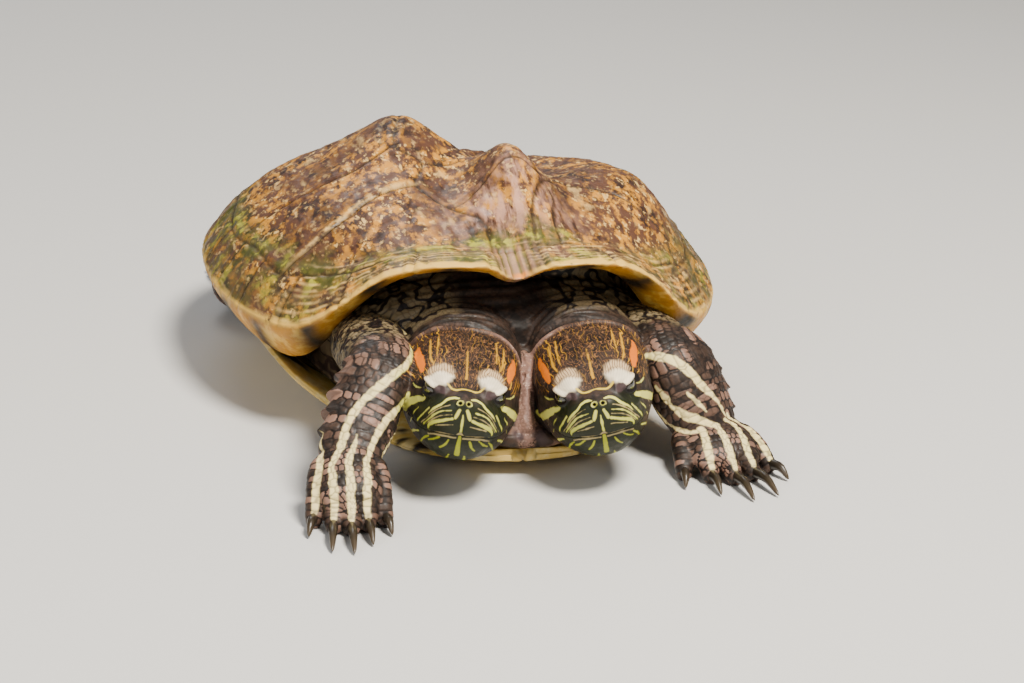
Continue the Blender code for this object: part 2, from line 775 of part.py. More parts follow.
def part_core(core, collection, tools, skin):
    """Part the body at the necks' roots, between the heads, behind the skulls and at the tail."""
    right, left = head_frame("right"), head_frame("left")
    roots = (Vector(HEADS["right"][2]) + Vector(HEADS["left"][2])) / 2
    neck_y = COLLAR_CENTRE[1] - COLLAR_RADII[1] * 0.92
    cut_with(core, blade((roots.x, neck_y, roots.z), (0, 1, 0), 0.042, 0.024), tools)
    cut_with(core, blade((0, TAIL_CUT_Y, 0.010), (0, 1, 0), 0.014), tools)
    snouts = (right.translation + left.translation) / 2
    napes = (right @ Vector((0, NAPE_BACK, 0)) + left @ Vector((0, NAPE_BACK, 0))) / 2
    middle = snouts.lerp(napes, 0.5)
    cut_with(core, blade(middle, Vector((0, 0, 1)).cross(napes - snouts), 0.034, 0.022), tools)
    labels = {"trunk": (0, 0.01, 0.03), "tail": (0.008, 0.092, 0.005)}
    for side, frame in (("right", right), ("left", left)):
        ahead = frame.to_3x3() @ Vector((0, 1, 0))
        cut_with(core, blade(frame @ Vector((0, NAPE_BACK, 0)), ahead, 0.0165, 0.022), tools)
        labels[f"head_{side}"] = frame @ Vector((0, HEAD_LENGTH / 2, 0))
        labels[f"neck_{side}"] = frame @ Vector((0, HEAD_LENGTH + 0.005, 0))
    part_into(core, labels, collection, skin)


def add_limb(kind, side, plan, joints, core, shells, collection, tools, materials):
    """A limb in three segments, with its claws."""
    mirror = -1 if side == "right" else 1
    flesh, claws = foot_meshes(joints, plan, mirror)
    triangles = FRONT_LIMB_TRIANGLES if kind == "front" else HIND_LIMB_TRIANGLES
    limb = blend(f"{kind}_{side}", [limb_mesh(joints, plan["halves"]), *flesh], tools, triangles)
    for number, path in claws.items():
        claw = add_object("claw", [tube(path, (0, 0, 1), 5, 6, 2.0)], tools)
        cut_clear(claw, [limb], tools)
        part_into(claw, {f"claw_{kind}_{side}_{number}": path[-1][:3]}, collection, materials["claw"])
    cut_clear(limb, [core, *shells], tools)
    root, middle, end = (Vector(joints[name]) for name in ("root", "middle", "end"))
    at_middle = (middle - root).normalized() + (end - middle).normalized()
    cut_with(limb, blade(middle, at_middle, BLADE_HALF_WIDTH), tools)
    ahead = foot_axes(joints)[0]
    cut_with(limb, blade(end, (end - middle).normalized() + ahead, BLADE_HALF_WIDTH), tools)
    upper, lower, foot = (f"{name}_{side}" for name in plan["segments"])
    labels = {upper: root.lerp(middle, 0.7), lower: middle.lerp(end, 0.5), foot: end + ahead * 0.012}
    part_into(limb, labels, collection, materials["skin"])


def build():
    """The whole animal."""
    clear_scene()
    collection = make_collection("two_headed_slider")
    tools = make_collection("cutters")
    materials = {name: make_material(name) for name in COLOURS}
    carapace = add_object("carapace", [carapace_mesh()], collection, materials["carapace"])
    plastron = add_object("plastron", [plastron_mesh()], collection, materials["plastron"])
    cut_clear(plastron, [carapace], tools)
    core = core_body(tools)
    for kind, limbs, plan in (("front", FRONT_LIMBS, FRONT), ("hind", HIND_LIMBS, HIND)):
        for side, joints in limbs.items():
            add_limb(kind, side, plan, joints, core, [carapace, plastron], collection, tools, materials)
    for side in HEADS:
        for eye_side, eye_name in ((-1, "right"), (1, "left")):
            name = f"eye_{eye_name}_of_{side}_head"
            eye = add_object(name, [eye_mesh(side, eye_side)], collection, materials["eye"])
            cut_clear(core, [eye], tools)
    part_core(core, collection, tools, materials["skin"])


build()
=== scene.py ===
"""Looks of a life-size two-headed red-eared slider turtle, for Blender 4.5.

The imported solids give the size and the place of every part. This script lays a
finely modelled shell, one skin, eyes and claws over them, in metres, with the
animal facing -Y and the origin on the floor under its belly.
"""

import logging
import math
from dataclasses import dataclass, field
from enum import Enum
from typing import Callable, ClassVar, Iterable, Optional, Sequence

import bmesh
import bpy
import numpy as np
from mathutils import Matrix, Vector
from mathutils.kdtree import KDTree


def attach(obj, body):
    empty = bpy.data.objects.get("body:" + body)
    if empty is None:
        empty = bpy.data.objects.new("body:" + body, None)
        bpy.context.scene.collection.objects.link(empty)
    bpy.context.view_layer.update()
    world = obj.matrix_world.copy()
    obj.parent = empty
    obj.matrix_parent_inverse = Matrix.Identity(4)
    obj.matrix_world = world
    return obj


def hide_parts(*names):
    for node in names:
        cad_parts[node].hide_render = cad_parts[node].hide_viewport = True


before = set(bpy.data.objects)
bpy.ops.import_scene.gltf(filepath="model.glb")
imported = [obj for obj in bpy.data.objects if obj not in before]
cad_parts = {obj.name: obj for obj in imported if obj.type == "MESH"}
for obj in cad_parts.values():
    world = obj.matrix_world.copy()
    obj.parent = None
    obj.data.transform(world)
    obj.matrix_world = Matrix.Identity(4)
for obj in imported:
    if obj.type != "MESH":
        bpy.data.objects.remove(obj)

LOG = logging.getLogger("slider")
MM = 0.001
# A distance past every part of the animal, in metres or in widths
FAR = 9.0

Array = np.ndarray
Colour = tuple[float, float, float]
Socket = bpy.types.NodeSocket
Piece = bpy.types.Object


# ---- arithmetic on arrays


def ramp(low: float, high: float, value: Array) -> Array:
    """0 under low, 1 over high, and a smooth rise between.

    Args:
        low: where the rise starts.
        high: where the rise ends. It may be under low, for a fall.
        value: the numbers to read.

    Returns:
        The share of the rise at each number.
    """
    share = np.clip((np.asarray(value) - low) / (high - low), 0.0, 1.0)
    return share * share * (3.0 - 2.0 * share)


def bell(value: Array, width: float) -> Array:
    """A smooth hump, 1 at zero and about a third at width from it."""
    return np.exp(-((np.asarray(value) / width) ** 2))


def signed_power(value: Array, power: float) -> Array:
    """The power of a number's size, with its sign kept."""
    return np.sign(value) * np.abs(value) ** power


def unit(vectors: Array) -> Array:
    """Vectors scaled to length one, along the last axis."""
    return vectors / np.maximum(np.linalg.norm(vectors, axis=-1, keepdims=True), 1e-12)


def spline(stations: Iterable[Sequence[float]], count: int) -> Array:
    """Points read evenly from a smooth curve through rows of numbers.

    Args:
        stations: the rows that the curve passes through.
        count: how many rows to read.

    Returns:
        One row for each reading.
    """
    rows = np.array(list(stations), float)
    ends = np.vstack([2 * rows[0] - rows[1], rows, 2 * rows[-1] - rows[-2]])
    places = np.linspace(0, len(rows) - 1, count)
    spans = np.minimum(places.astype(int), len(rows) - 2)
    t = (places - spans)[:, None]
    a, b, c, d = (ends[spans + step] for step in range(4))
    return 0.5 * (2 * b + (c - a) * t + (2 * a - 5 * b + 4 * c - d) * t**2
                  + (3 * b - a - 3 * c + d) * t**3)


def lattice_value(cell: Array, seed: int) -> Array:
    """A repeatable number between -1 and 1 for each row of whole numbers."""
    mixed = np.full(len(cell), seed * 374761393 + 668265263, np.int64)
    for column in range(cell.shape[1]):
        mixed = (mixed ^ cell[:, column]) * 1274126177 & 0x7FFFFFFF
        mixed = mixed ^ (mixed >> 15)
    return (mixed & 0xFFFFFF) / 0x7FFFFF - 1.0


def soft_noise(points: Array, size: float, seed: int) -> Array:
    """Smooth noise between -1 and 1.

    Args:
        points: one row for each place.
        size: the width of one bump.
        seed: picks the pattern.

    Returns:
        One number for each place.
    """
    scaled = points / size
    cell = np.floor(scaled).astype(np.int64)
    t = scaled - cell
    t = t * t * (3.0 - 2.0 * t)
    total = np.zeros(len(points))
    for corner in np.ndindex(*(2,) * points.shape[1]):
        weight = np.prod(np.where(np.array(corner) == 1, t, 1.0 - t), axis=1)
        total += weight * lattice_value(cell + np.array(corner), seed)
    return total


def beside_stretches(points: Array, line: Array) -> Iterable[tuple[Array, Array]]:
    """Where points lie beside each straight stretch of a bent line.

    Args:
        points: one row for each place.
        line: the line's corners.

    Yields:
        For each stretch, the share along it and the offset from it at every place.
    """
    for start, end in zip(line, line[1:]):
        span = end - start
        share = np.clip((points - start) @ span / max(span @ span, 1e-14), 0.0, 1.0)
        yield share, points - start - share[:, None] * span


def distance_to(points: Array, line: Array) -> Array:
    """Least distance from each point to a bent line."""
    out = np.full(len(points), FAR)
    for _, offset in beside_stretches(points, line):
        out = np.minimum(out, np.linalg.norm(offset, axis=1))
    return out


@dataclass
class Scales:
    """A pattern of scales laid in rows, like bricks with rounded corners.

    Attributes:
        along: length of a row, in metres.
        across: width of a scale, in metres.
        jitter: how far a scale's middle strays, in shares of its size.
        seed: picks the pattern.
    """

    along: float
    across: float
    jitter: float = 0.16
    seed: int = 1

    def read(self, lengthways: Array, sideways: Array) -> tuple[Array, Array, Array]:
        """Height, groove and a random number for places on the skin.

        Args:
            lengthways: distance along the limb.
            sideways: distance round the limb.

        Returns:
            Height from 0 to about 1, closeness to a crease from 0 to 1, and the
            scale's own random number.
        """
        u, v = lengthways / self.along, sideways / self.across
        row = np.floor(u).astype(np.int64)
        first, second = np.full(len(u), FAR), np.full(len(u), FAR)
        number, tilt = np.zeros(len(u)), np.zeros(len(u))
        for row_step in (-1, 0, 1):
            this_row = row + row_step
            shift = 0.5 * (this_row % 2)
            column = np.floor(v - shift).astype(np.int64)
            for column_step in (-1, 0, 1):
                cell = np.stack([this_row, column + column_step], axis=1)
                centre_u = this_row + 0.5 + self.jitter * lattice_value(cell, self.seed)
                centre_v = column + column_step + 0.5 + shift
                centre_v = centre_v + self.jitter * lattice_value(cell, self.seed + 7)
                apart = np.hypot(u - centre_u, v - centre_v)
                nearer = apart < first
                second = np.where(nearer, first, np.minimum(second, apart))
                number = np.where(nearer, lattice_value(cell, self.seed + 13), number)
                tilt = np.where(nearer, u - centre_u, tilt)
                first = np.where(nearer, apart, first)
        border = 0.5 * (second - first)
        height = ramp(0.0, 0.26, border) * (0.75 + 0.55 * tilt)
        return height, 1.0 - ramp(0.02, 0.13, border), number


# ---- meshes


def add_mesh(name: str, points: Array, faces: Iterable[Sequence[int]]) -> Piece:
    """A new object in the scene.

    Args:
        name: the piece's name.
        points: one row for each vertex.
        faces: vertex numbers of each face.

    Returns:
        The object, shaded smooth.
    """
    data = bpy.data.meshes.new(name)
    data.from_pydata(np.asarray(points).tolist(), [], [list(map(int, face)) for face in faces])
    data.update()
    data.shade_smooth()
    made = bpy.data.objects.new(name, data)
    bpy.context.scene.collection.objects.link(made)
    return made


def face_outwards(item: Piece) -> None:
    """Make a closed mesh's faces point out."""
    mesh = bmesh.new()
    mesh.from_mesh(item.data)
    bmesh.ops.recalc_face_normals(mesh, faces=mesh.faces)
    mesh.to_mesh(item.data)
    mesh.free()
    item.data.shade_smooth()


def read_points(item: Piece, what: str = "co") -> Array:
    """An object's vertex positions, or with what="normal" their normals."""
    out = np.zeros(len(item.data.vertices) * 3)
    item.data.vertices.foreach_get(what, out)
    return out.reshape(-1, 3)


def write_points(item: Piece, points: Array) -> None:
    """Move an object's vertices."""
    item.data.vertices.foreach_set("co", points.ravel())
    item.data.update()


def write_mask(item: Piece, name: str, values: Array) -> None:
    """Keep one number for each vertex, for the materials to read."""
    layer = item.data.attributes.new(name, "FLOAT", "POINT")
    layer.data.foreach_set("value", np.ascontiguousarray(values, np.float32))


def write_places(item: Piece, name: str, values: Array) -> None:
    """Keep three numbers for each vertex, for the materials to read."""
    layer = item.data.attributes.new(name, "FLOAT_VECTOR", "POINT")
    layer.data.foreach_set("vector", np.ascontiguousarray(values, np.float32).ravel())


def ring_faces(first: Array, second: Array) -> Array:
    """Four-sided faces between two rings of vertex numbers."""
    return np.stack([first, np.roll(first, -1), np.roll(second, -1), second], axis=1)


def apply_modifiers(item: Piece) -> None:
    """Turn an object's mesh into what its modifiers make of it."""
    graph = bpy.context.evaluated_depsgraph_get()
    graph.update()
    data = bpy.data.meshes.new_from_object(item.evaluated_get(graph))
    item.modifiers.clear()
    item.data = data


@dataclass
class Loft:
    """Closed shapes made of rings, kept until they are joined into one body."""

    points: list[Array] = field(default_factory=list)
    faces: list[list[int]] = field(default_factory=list)
    total: int = 0

    def add(self, rings: Array) -> None:
        """Add one closed shape through rings with as many points each."""
        count, sides = rings.shape[:2]
        numbers = self.total + np.arange(count * sides).reshape(count, sides)
        for first, second in zip(numbers, numbers[1:]):
            self.faces += ring_faces(first, second).tolist()
        self.faces.append(numbers[0][::-1].tolist())
        self.faces.append(numbers[-1].tolist())
        self.points.append(rings.reshape(-1, 3))
        self.total += count * sides

    def add_ellipsoid(self, centre: Sequence[float], radii: Sequence[float],
                      turn: Optional[Matrix] = None, sides: int = 32) -> None:
        """Add an ellipsoid, turned and moved by a matrix."""
        tops = np.linspace(0.02, math.pi - 0.02, sides // 2)
        rounds = np.linspace(0, 2 * math.pi, sides, endpoint=False)
        rings = np.stack([np.outer(np.sin(tops), np.cos(rounds)) * radii[0],
                          np.outer(np.sin(tops), np.sin(rounds)) * radii[1],
                          np.outer(np.cos(tops), np.ones(sides)) * radii[2]], axis=-1)
        rings = rings + np.array(centre)
        if turn is not None:
            rings = rings @ np.array(turn.to_3x3()).T + np.array(turn.translation)
        self.add(rings)

    def make(self, name: str) -> Piece:
        """One object that holds every shape."""
        return add_mesh(name, np.vstack(self.points), self.faces)


def closed_piece(name: str, rings: Array) -> Piece:
    """A closed piece through rings, with its faces pointing out."""
    loft = Loft()
    loft.add(rings)
    item = loft.make(name)
    face_outwards(item)
    return item


@dataclass
class Located:
    """Where places lie on a tube.

    Attributes:
        station: position along the tube, in the numbers of its stations.
        arc: distance along the tube, in metres.
        angle: angle round it in radians, 0 on the side that faces up.
        reach: distance from its line, 1 on its surface.
        side: radius of the tube there, in metres.
    """

    station: Array
    arc: Array
    angle: Array
    reach: Array
    side: Array

    @property
    def around(self) -> Array:
        """Distance round the tube, in metres."""
        return self.angle * self.side


class Tube:
    """A bent tube of flesh through stations of a centre and two half-sizes."""

    def __init__(self, stations: Iterable[Sequence[float]], facing: Sequence[float],
                 count: int = 40, sides: int = 40, power: float = 2.2) -> None:
        """Read the tube's line and its frame at each ring.

        Args:
            stations: rows of centre, half-width and half-height.
            facing: the direction that its upper side looks.
            count: number of rings.
            sides: points of each ring.
            power: roundness of the section; 2 is an ellipse.
        """
        stations = list(stations)
        rows = spline(stations, count)
        self.last = len(stations) - 1
        self.sides, self.power = sides, power
        self.centres, self.halves = rows[:, :3], rows[:, 3:5]
        self.ahead = unit(np.gradient(self.centres, axis=0))
        facing = np.array(facing, float)
        self.up = unit(facing - self.ahead * (self.ahead @ facing)[:, None])
        self.across = np.cross(self.ahead, self.up)
        steps = np.linalg.norm(np.diff(self.centres, axis=0), axis=1)
        self.arc = np.concatenate([[0.0], np.cumsum(steps)])

    def rings(self) -> Array:
        """The rings' points."""
        angles = np.linspace(0, 2 * math.pi, self.sides, endpoint=False)
        x = signed_power(np.cos(angles), 2 / self.power)[None, :, None]
        z = signed_power(np.sin(angles), 2 / self.power)[None, :, None]
        width = self.halves[:, 0][:, None, None]
        height = self.halves[:, 1][:, None, None]
        return (self.centres[:, None] + self.across[:, None] * x * width
                + self.up[:, None] * z * height)

    def surface(self, station: float, degrees: float) -> Array:
        """The point of the surface at a station and an angle from its upper side."""
        place = min(max(station / self.last, 0.0), 1.0) * (len(self.centres) - 1)
        low = min(int(place), len(self.centres) - 2)
        share = place - low
        centre, halves, up, across = (
            rows[low] * (1 - share) + rows[low + 1] * share
            for rows in (self.centres, self.halves, self.up, self.across))
        x, z = math.sin(math.radians(degrees)), math.cos(math.radians(degrees))
        size = (abs(x) / halves[0]) ** self.power + (abs(z) / halves[1]) ** self.power
        return centre + (across * x + up * z) * size ** (-1 / self.power)

    def locate(self, points: Array) -> Located:
        """Where points lie along and round the tube."""
        apart = ((points**2).sum(1)[:, None] - 2 * points @ self.centres.T
                 + (self.centres**2).sum(1)[None, :])
        ring = apart.argmin(1)
        offset = points - self.centres[ring]
        ahead = (offset * self.ahead[ring]).sum(1)
        x = (offset * self.across[ring]).sum(1)
        z = (offset * self.up[ring]).sum(1)
        halves = self.halves[ring]
        reach = ((np.abs(x) / halves[:, 0]) ** self.power
                 + (np.abs(z) / halves[:, 1]) ** self.power) ** (1 / self.power)
        past = np.where(ring == 0, -ahead, np.where(ring == len(self.centres) - 1, ahead, 0.0))
        reach = np.hypot(reach, np.maximum(past, 0.0) / halves.mean(1))
        span = self.arc[-1] / (len(self.centres) - 1)
        station = (ring + np.clip(ahead / span, -0.5, 0.5)) / (len(self.centres) - 1) * self.last
        return Located(station, self.arc[ring] + ahead, np.arctan2(x, z), reach, halves.mean(1))


# ---- marks on the skin


@dataclass
class Mark:
    """A painted line: places with the line's half-width at each, all in metres."""

    path: Array

    @classmethod
    def through(cls, places: Sequence[Array], halves: Sequence[float], step: float = 0.8 * MM) -> "Mark":
        """A smooth mark through a few places.

        Args:
            places: points on or near the skin.
            halves: half-width of the mark at each of them.
            step: distance between the points that the mark is drawn through.

        Returns:
            The mark.
        """
        rows = np.column_stack([np.array(places, float), np.array(halves, float)])
        length = np.linalg.norm(np.diff(rows[:, :3], axis=0), axis=1).sum()
        return cls(spline(rows, max(int(length / step), len(rows)) + 1))

    def lay_on(self, tree: KDTree) -> None:
        """Move the mark's points to the nearest vertices of the skin."""
        for row in self.path:
            row[:3] = tree.find(row[:3])[0]
        inner = self.path[1:-1, :3]
        self.path[1:-1, :3] = 0.5 * inner + 0.25 * (self.path[:-2, :3] + self.path[2:, :3])

    def strength(self, points: Array, soft: float, wobble: Array) -> Array:
        """How strongly the mark shows at places.

        Args:
            points: places on the skin.
            soft: width of the mark's soft edge.
            wobble: what to add to each place's distance, for ragged edges.

        Returns:
            0 off the mark to 1 on it.
        """
        out = np.zeros(len(points))
        margin = self.path[:, 3].max() + soft + 0.5 * MM
        low, high = self.path[:, :3].min(0) - margin, self.path[:, :3].max(0) + margin
        near = np.flatnonzero(((points > low) & (points < high)).all(1))
        if len(near) == 0:
            return out
        places, best = points[near], np.full(len(near), FAR)
        halves = self.path[:, 3]
        stretches = beside_stretches(places, self.path[:, :3])
        for first, last, (share, offset) in zip(halves, halves[1:], stretches):
            gap = np.linalg.norm(offset, axis=1)
            best = np.minimum(best, gap - (first + (last - first) * share))
        out[near] = 1.0 - ramp(-soft, soft, best + wobble[near])
        return out


# ---- materials


class Graph:
    """Short ways to add nodes to a tree."""

    def __init__(self, tree: bpy.types.NodeTree) -> None:
        """Work on a tree."""
        self.tree = tree

    def node(self, kind: str, **settings: object) -> bpy.types.Node:
        """Add a node and set what is named."""
        made = self.tree.nodes.new(kind)
        for name, value in settings.items():
            setattr(made, name, value)
        return made

    def feed(self, socket: Socket, value: object) -> None:
        """Link a socket, or set its number or colour."""
        if isinstance(value, bpy.types.NodeSocket):
            self.tree.links.new(value, socket)
        elif isinstance(value, tuple) and len(value) == 3 and socket.type == "RGBA":
            socket.default_value = (*value, 1.0)
        else:
            socket.default_value = value

    def math(self, operation: str, first: object, second: object = 0.0,
             third: object = 0.0) -> Socket:
        """A Math node's result."""
        made = self.node("ShaderNodeMath", operation=operation)
        for socket, value in zip(made.inputs, (first, second, third)):
            self.feed(socket, value)
        return made.outputs[0]

    def times(self, first: object, second: object) -> Socket:
        """The product of two numbers."""
        return self.math("MULTIPLY", first, second)

    def mix(self, share: object, first: object, second: object) -> Socket:
        """Two colours mixed by a share."""
        made = self.node("ShaderNodeMix", data_type="RGBA")
        self.feed(made.inputs[0], share)
        self.feed(made.inputs[6], first)
        self.feed(made.inputs[7], second)
        return made.outputs[2]

    def rise(self, value: object, low: object, high: object, start: float = 0.0,
             end: float = 1.0) -> Socket:
        """A smooth rise from start to end as a value goes from low to high."""
        made = self.node("ShaderNodeMapRange", interpolation_type="SMOOTHSTEP")
        for socket, given in zip(made.inputs, (value, low, high, start, end)):
            self.feed(socket, given)
        return made.outputs[0]

    def noise(self, vector: object, scale: object, detail: float = 2.0, rough: float = 0.5) -> Socket:
        """Noise from 0 to 1."""
        made = self.node("ShaderNodeTexNoise")
        self.feed(made.inputs["Vector"], vector)
        self.feed(made.inputs["Scale"], scale)
        made.inputs["Detail"].default_value = detail
        made.inputs["Roughness"].default_value = rough
        return made.outputs["Fac"]

    def stretch(self, vector: Socket, sizes: tuple[float, float, float]) -> Socket:
        """A place multiplied along each axis."""
        made = self.node("ShaderNodeVectorMath", operation="MULTIPLY")
        self.feed(made.inputs[0], vector)
        made.inputs[1].default_value = sizes
        return made.outputs[0]

    def mask(self, name: str) -> Socket:
        """A number kept for each vertex."""
        return self.node("ShaderNodeAttribute", attribute_name=name).outputs["Fac"]

    def lay(self, ground: object, name: str, over: object, strength: float = 1.0) -> Socket:
        """A ground with a colour laid over it where a mask shows.

        Args:
            ground: the colour below.
            name: the mask.
            over: the colour laid on.
            strength: how much of it shows where the mask is full.

        Returns:
            The mixed colour.
        """
        share = self.mask(name)
        if strength != 1.0:
            share = self.times(share, strength)
        return self.mix(share, ground, over)

    def broken(self, name: str, noise: Socket, low: float, high: float) -> Socket:
        """A mask broken up by a noise."""
        return self.times(self.mask(name), self.rise(noise, low, high))

    def places(self, name: str) -> Socket:
        """Three numbers kept for each vertex."""
        return self.node("ShaderNodeAttribute", attribute_name=name).outputs["Vector"]

    def object_place(self) -> Socket:
        """The place on the object, in metres."""
        return self.node("ShaderNodeTexCoord").outputs["Object"]

    def group(self, tree: bpy.types.NodeTree, **values: object) -> bpy.types.Node:
        """Place a shared effect with its own values. Names use _ for a space."""
        made = self.node("ShaderNodeGroup", node_tree=tree)
        for name, value in values.items():
            self.feed(made.inputs[name.replace("_", " ")], value)
        return made


class Effect(Enum):
    """Effects that several materials share."""

    GRAIN = "fine grain"
    MOTTLE = "mottle"
    CONTOURS = "wavy contours"


class Effects:
    """Builds each shared effect once, as a node group."""

    def __init__(self) -> None:
        """Build every group."""
        self.trees = {Effect.GRAIN: self.grain(), Effect.MOTTLE: self.mottle(),
                      Effect.CONTOURS: self.contours()}

    @staticmethod
    def start(effect: Effect, inputs: dict[str, object],
              outputs: Sequence[tuple[str, str]]) -> tuple[Graph, dict[str, Socket], bpy.types.Node]:
        """A new group with its sockets.

        Args:
            effect: names the group.
            inputs: names and default values; None is a vector.
            outputs: names and socket types.

        Returns:
            The graph, the sockets that give the inputs, and the output node.
        """
        tree = bpy.data.node_groups.new(effect.value, "ShaderNodeTree")
        for name, value in inputs.items():
            kind = {type(None): "Vector", float: "Float", tuple: "Color"}[type(value)]
            made = tree.interface.new_socket(name, in_out="INPUT", socket_type="NodeSocket" + kind)
            if isinstance(value, float):
                made.default_value = value
            elif isinstance(value, tuple):
                made.default_value = (*value, 1.0)
        for name, kind in outputs:
            tree.interface.new_socket(name, in_out="OUTPUT", socket_type="NodeSocket" + kind)
        graph = Graph(tree)
        given = graph.node("NodeGroupInput")
        result = graph.node("NodeGroupOutput")
        return graph, {socket.name: socket for socket in given.outputs if socket.name}, result

    def grain(self) -> bpy.types.NodeTree:
        """Small rounded beads of skin or horn, as a height."""
        graph, given, result = self.start(Effect.GRAIN, {"Place": None, "Scale": 1000.0},
                                          [("Height", "Float")])
        beads = graph.node("ShaderNodeTexVoronoi", feature="SMOOTH_F1")
        graph.feed(beads.inputs["Vector"], given["Place"])
        graph.feed(beads.inputs["Scale"], given["Scale"])
        rough = graph.noise(given["Place"], graph.times(given["Scale"], 0.6), 4.0, 0.6)
        height = graph.math("MULTIPLY_ADD", beads.outputs["Distance"], -0.9, rough)
        graph.feed(result.inputs["Height"], height)
        return graph.tree

    def mottle(self) -> bpy.types.NodeTree:
        """Patches of two colours with finer specks in them."""
        inputs = {"Place": None, "Scale": 100.0, "First": (0.2, 0.2, 0.2), "Second": (0.5, 0.5, 0.5),
                  "Balance": 0.5}
        graph, given, result = self.start(Effect.MOTTLE, inputs, [("Colour", "Color")])
        broad = graph.noise(given["Place"], given["Scale"], 3.0, 0.6)
        fine = graph.noise(given["Place"], graph.times(given["Scale"], 4.3), 3.0, 0.6)
        both = graph.math("ADD", graph.times(broad, 0.65), graph.times(fine, 0.35))
        low = graph.math("SUBTRACT", given["Balance"], 0.07)
        high = graph.math("ADD", given["Balance"], 0.07)
        share = graph.rise(both, low, high)
        graph.feed(result.inputs["Colour"], graph.mix(share, given["First"], given["Second"]))
        return graph.tree

    def contours(self) -> bpy.types.NodeTree:
        """Thin wavy lines where a soft noise crosses its middle."""
        graph, given, result = self.start(
            Effect.CONTOURS, {"Place": None, "Scale": 200.0, "Width": 0.03}, [("Line", "Float")])
        field_value = graph.noise(given["Place"], given["Scale"], 1.0, 0.4)
        gap = graph.math("ABSOLUTE", graph.math("SUBTRACT", field_value, 0.5))
        line = graph.rise(gap, graph.times(given["Width"], 0.5), given["Width"], 1.0, 0.0)
        graph.feed(result.inputs["Line"], line)
        return graph.tree


class Finish:
    """A Principled material under construction."""

    def __init__(self, name: str, effects: Effects) -> None:
        """Start an empty material that has the shared effects at hand."""
        self.material = bpy.data.materials.new(name)
        self.material.use_nodes = True
        self.graph = Graph(self.material.node_tree)
        self.shader = self.material.node_tree.nodes["Principled BSDF"]
        self.effects = effects

    def use(self, effect: Effect, **values: object) -> bpy.types.Node:
        """Place a shared effect."""
        return self.graph.group(self.effects.trees[effect], **values)

    def set(self, **values: object) -> "Finish":
        """Feed the shader's sockets. Names use _ for a space."""
        for name, value in values.items():
            self.graph.feed(self.shader.inputs[name.replace("_", " ")], value)
        return self

    def mottle(self, place: Socket, scale: float, first: Colour, second: Colour, balance: float) -> Socket:
        """Patches of two colours; a higher balance shows more of the first."""
        return self.use(Effect.MOTTLE, Place=place, Scale=scale, First=first, Second=second,
                        Balance=balance).outputs["Colour"]

    def bump(self, height: Socket, strength: float, distance: float) -> "Finish":
        """Add fine relief."""
        made = self.graph.node("ShaderNodeBump")
        made.inputs["Strength"].default_value = strength
        made.inputs["Distance"].default_value = distance
        self.graph.feed(made.inputs["Height"], height)
        return self.set(Normal=made.outputs["Normal"])


# ---- shell


@dataclass(frozen=True)
class Hump:
    """A swelling of the dome: its middle, half-widths across and along, and height."""

    x: float
    y: float
    across: float
    along: float
    height: float


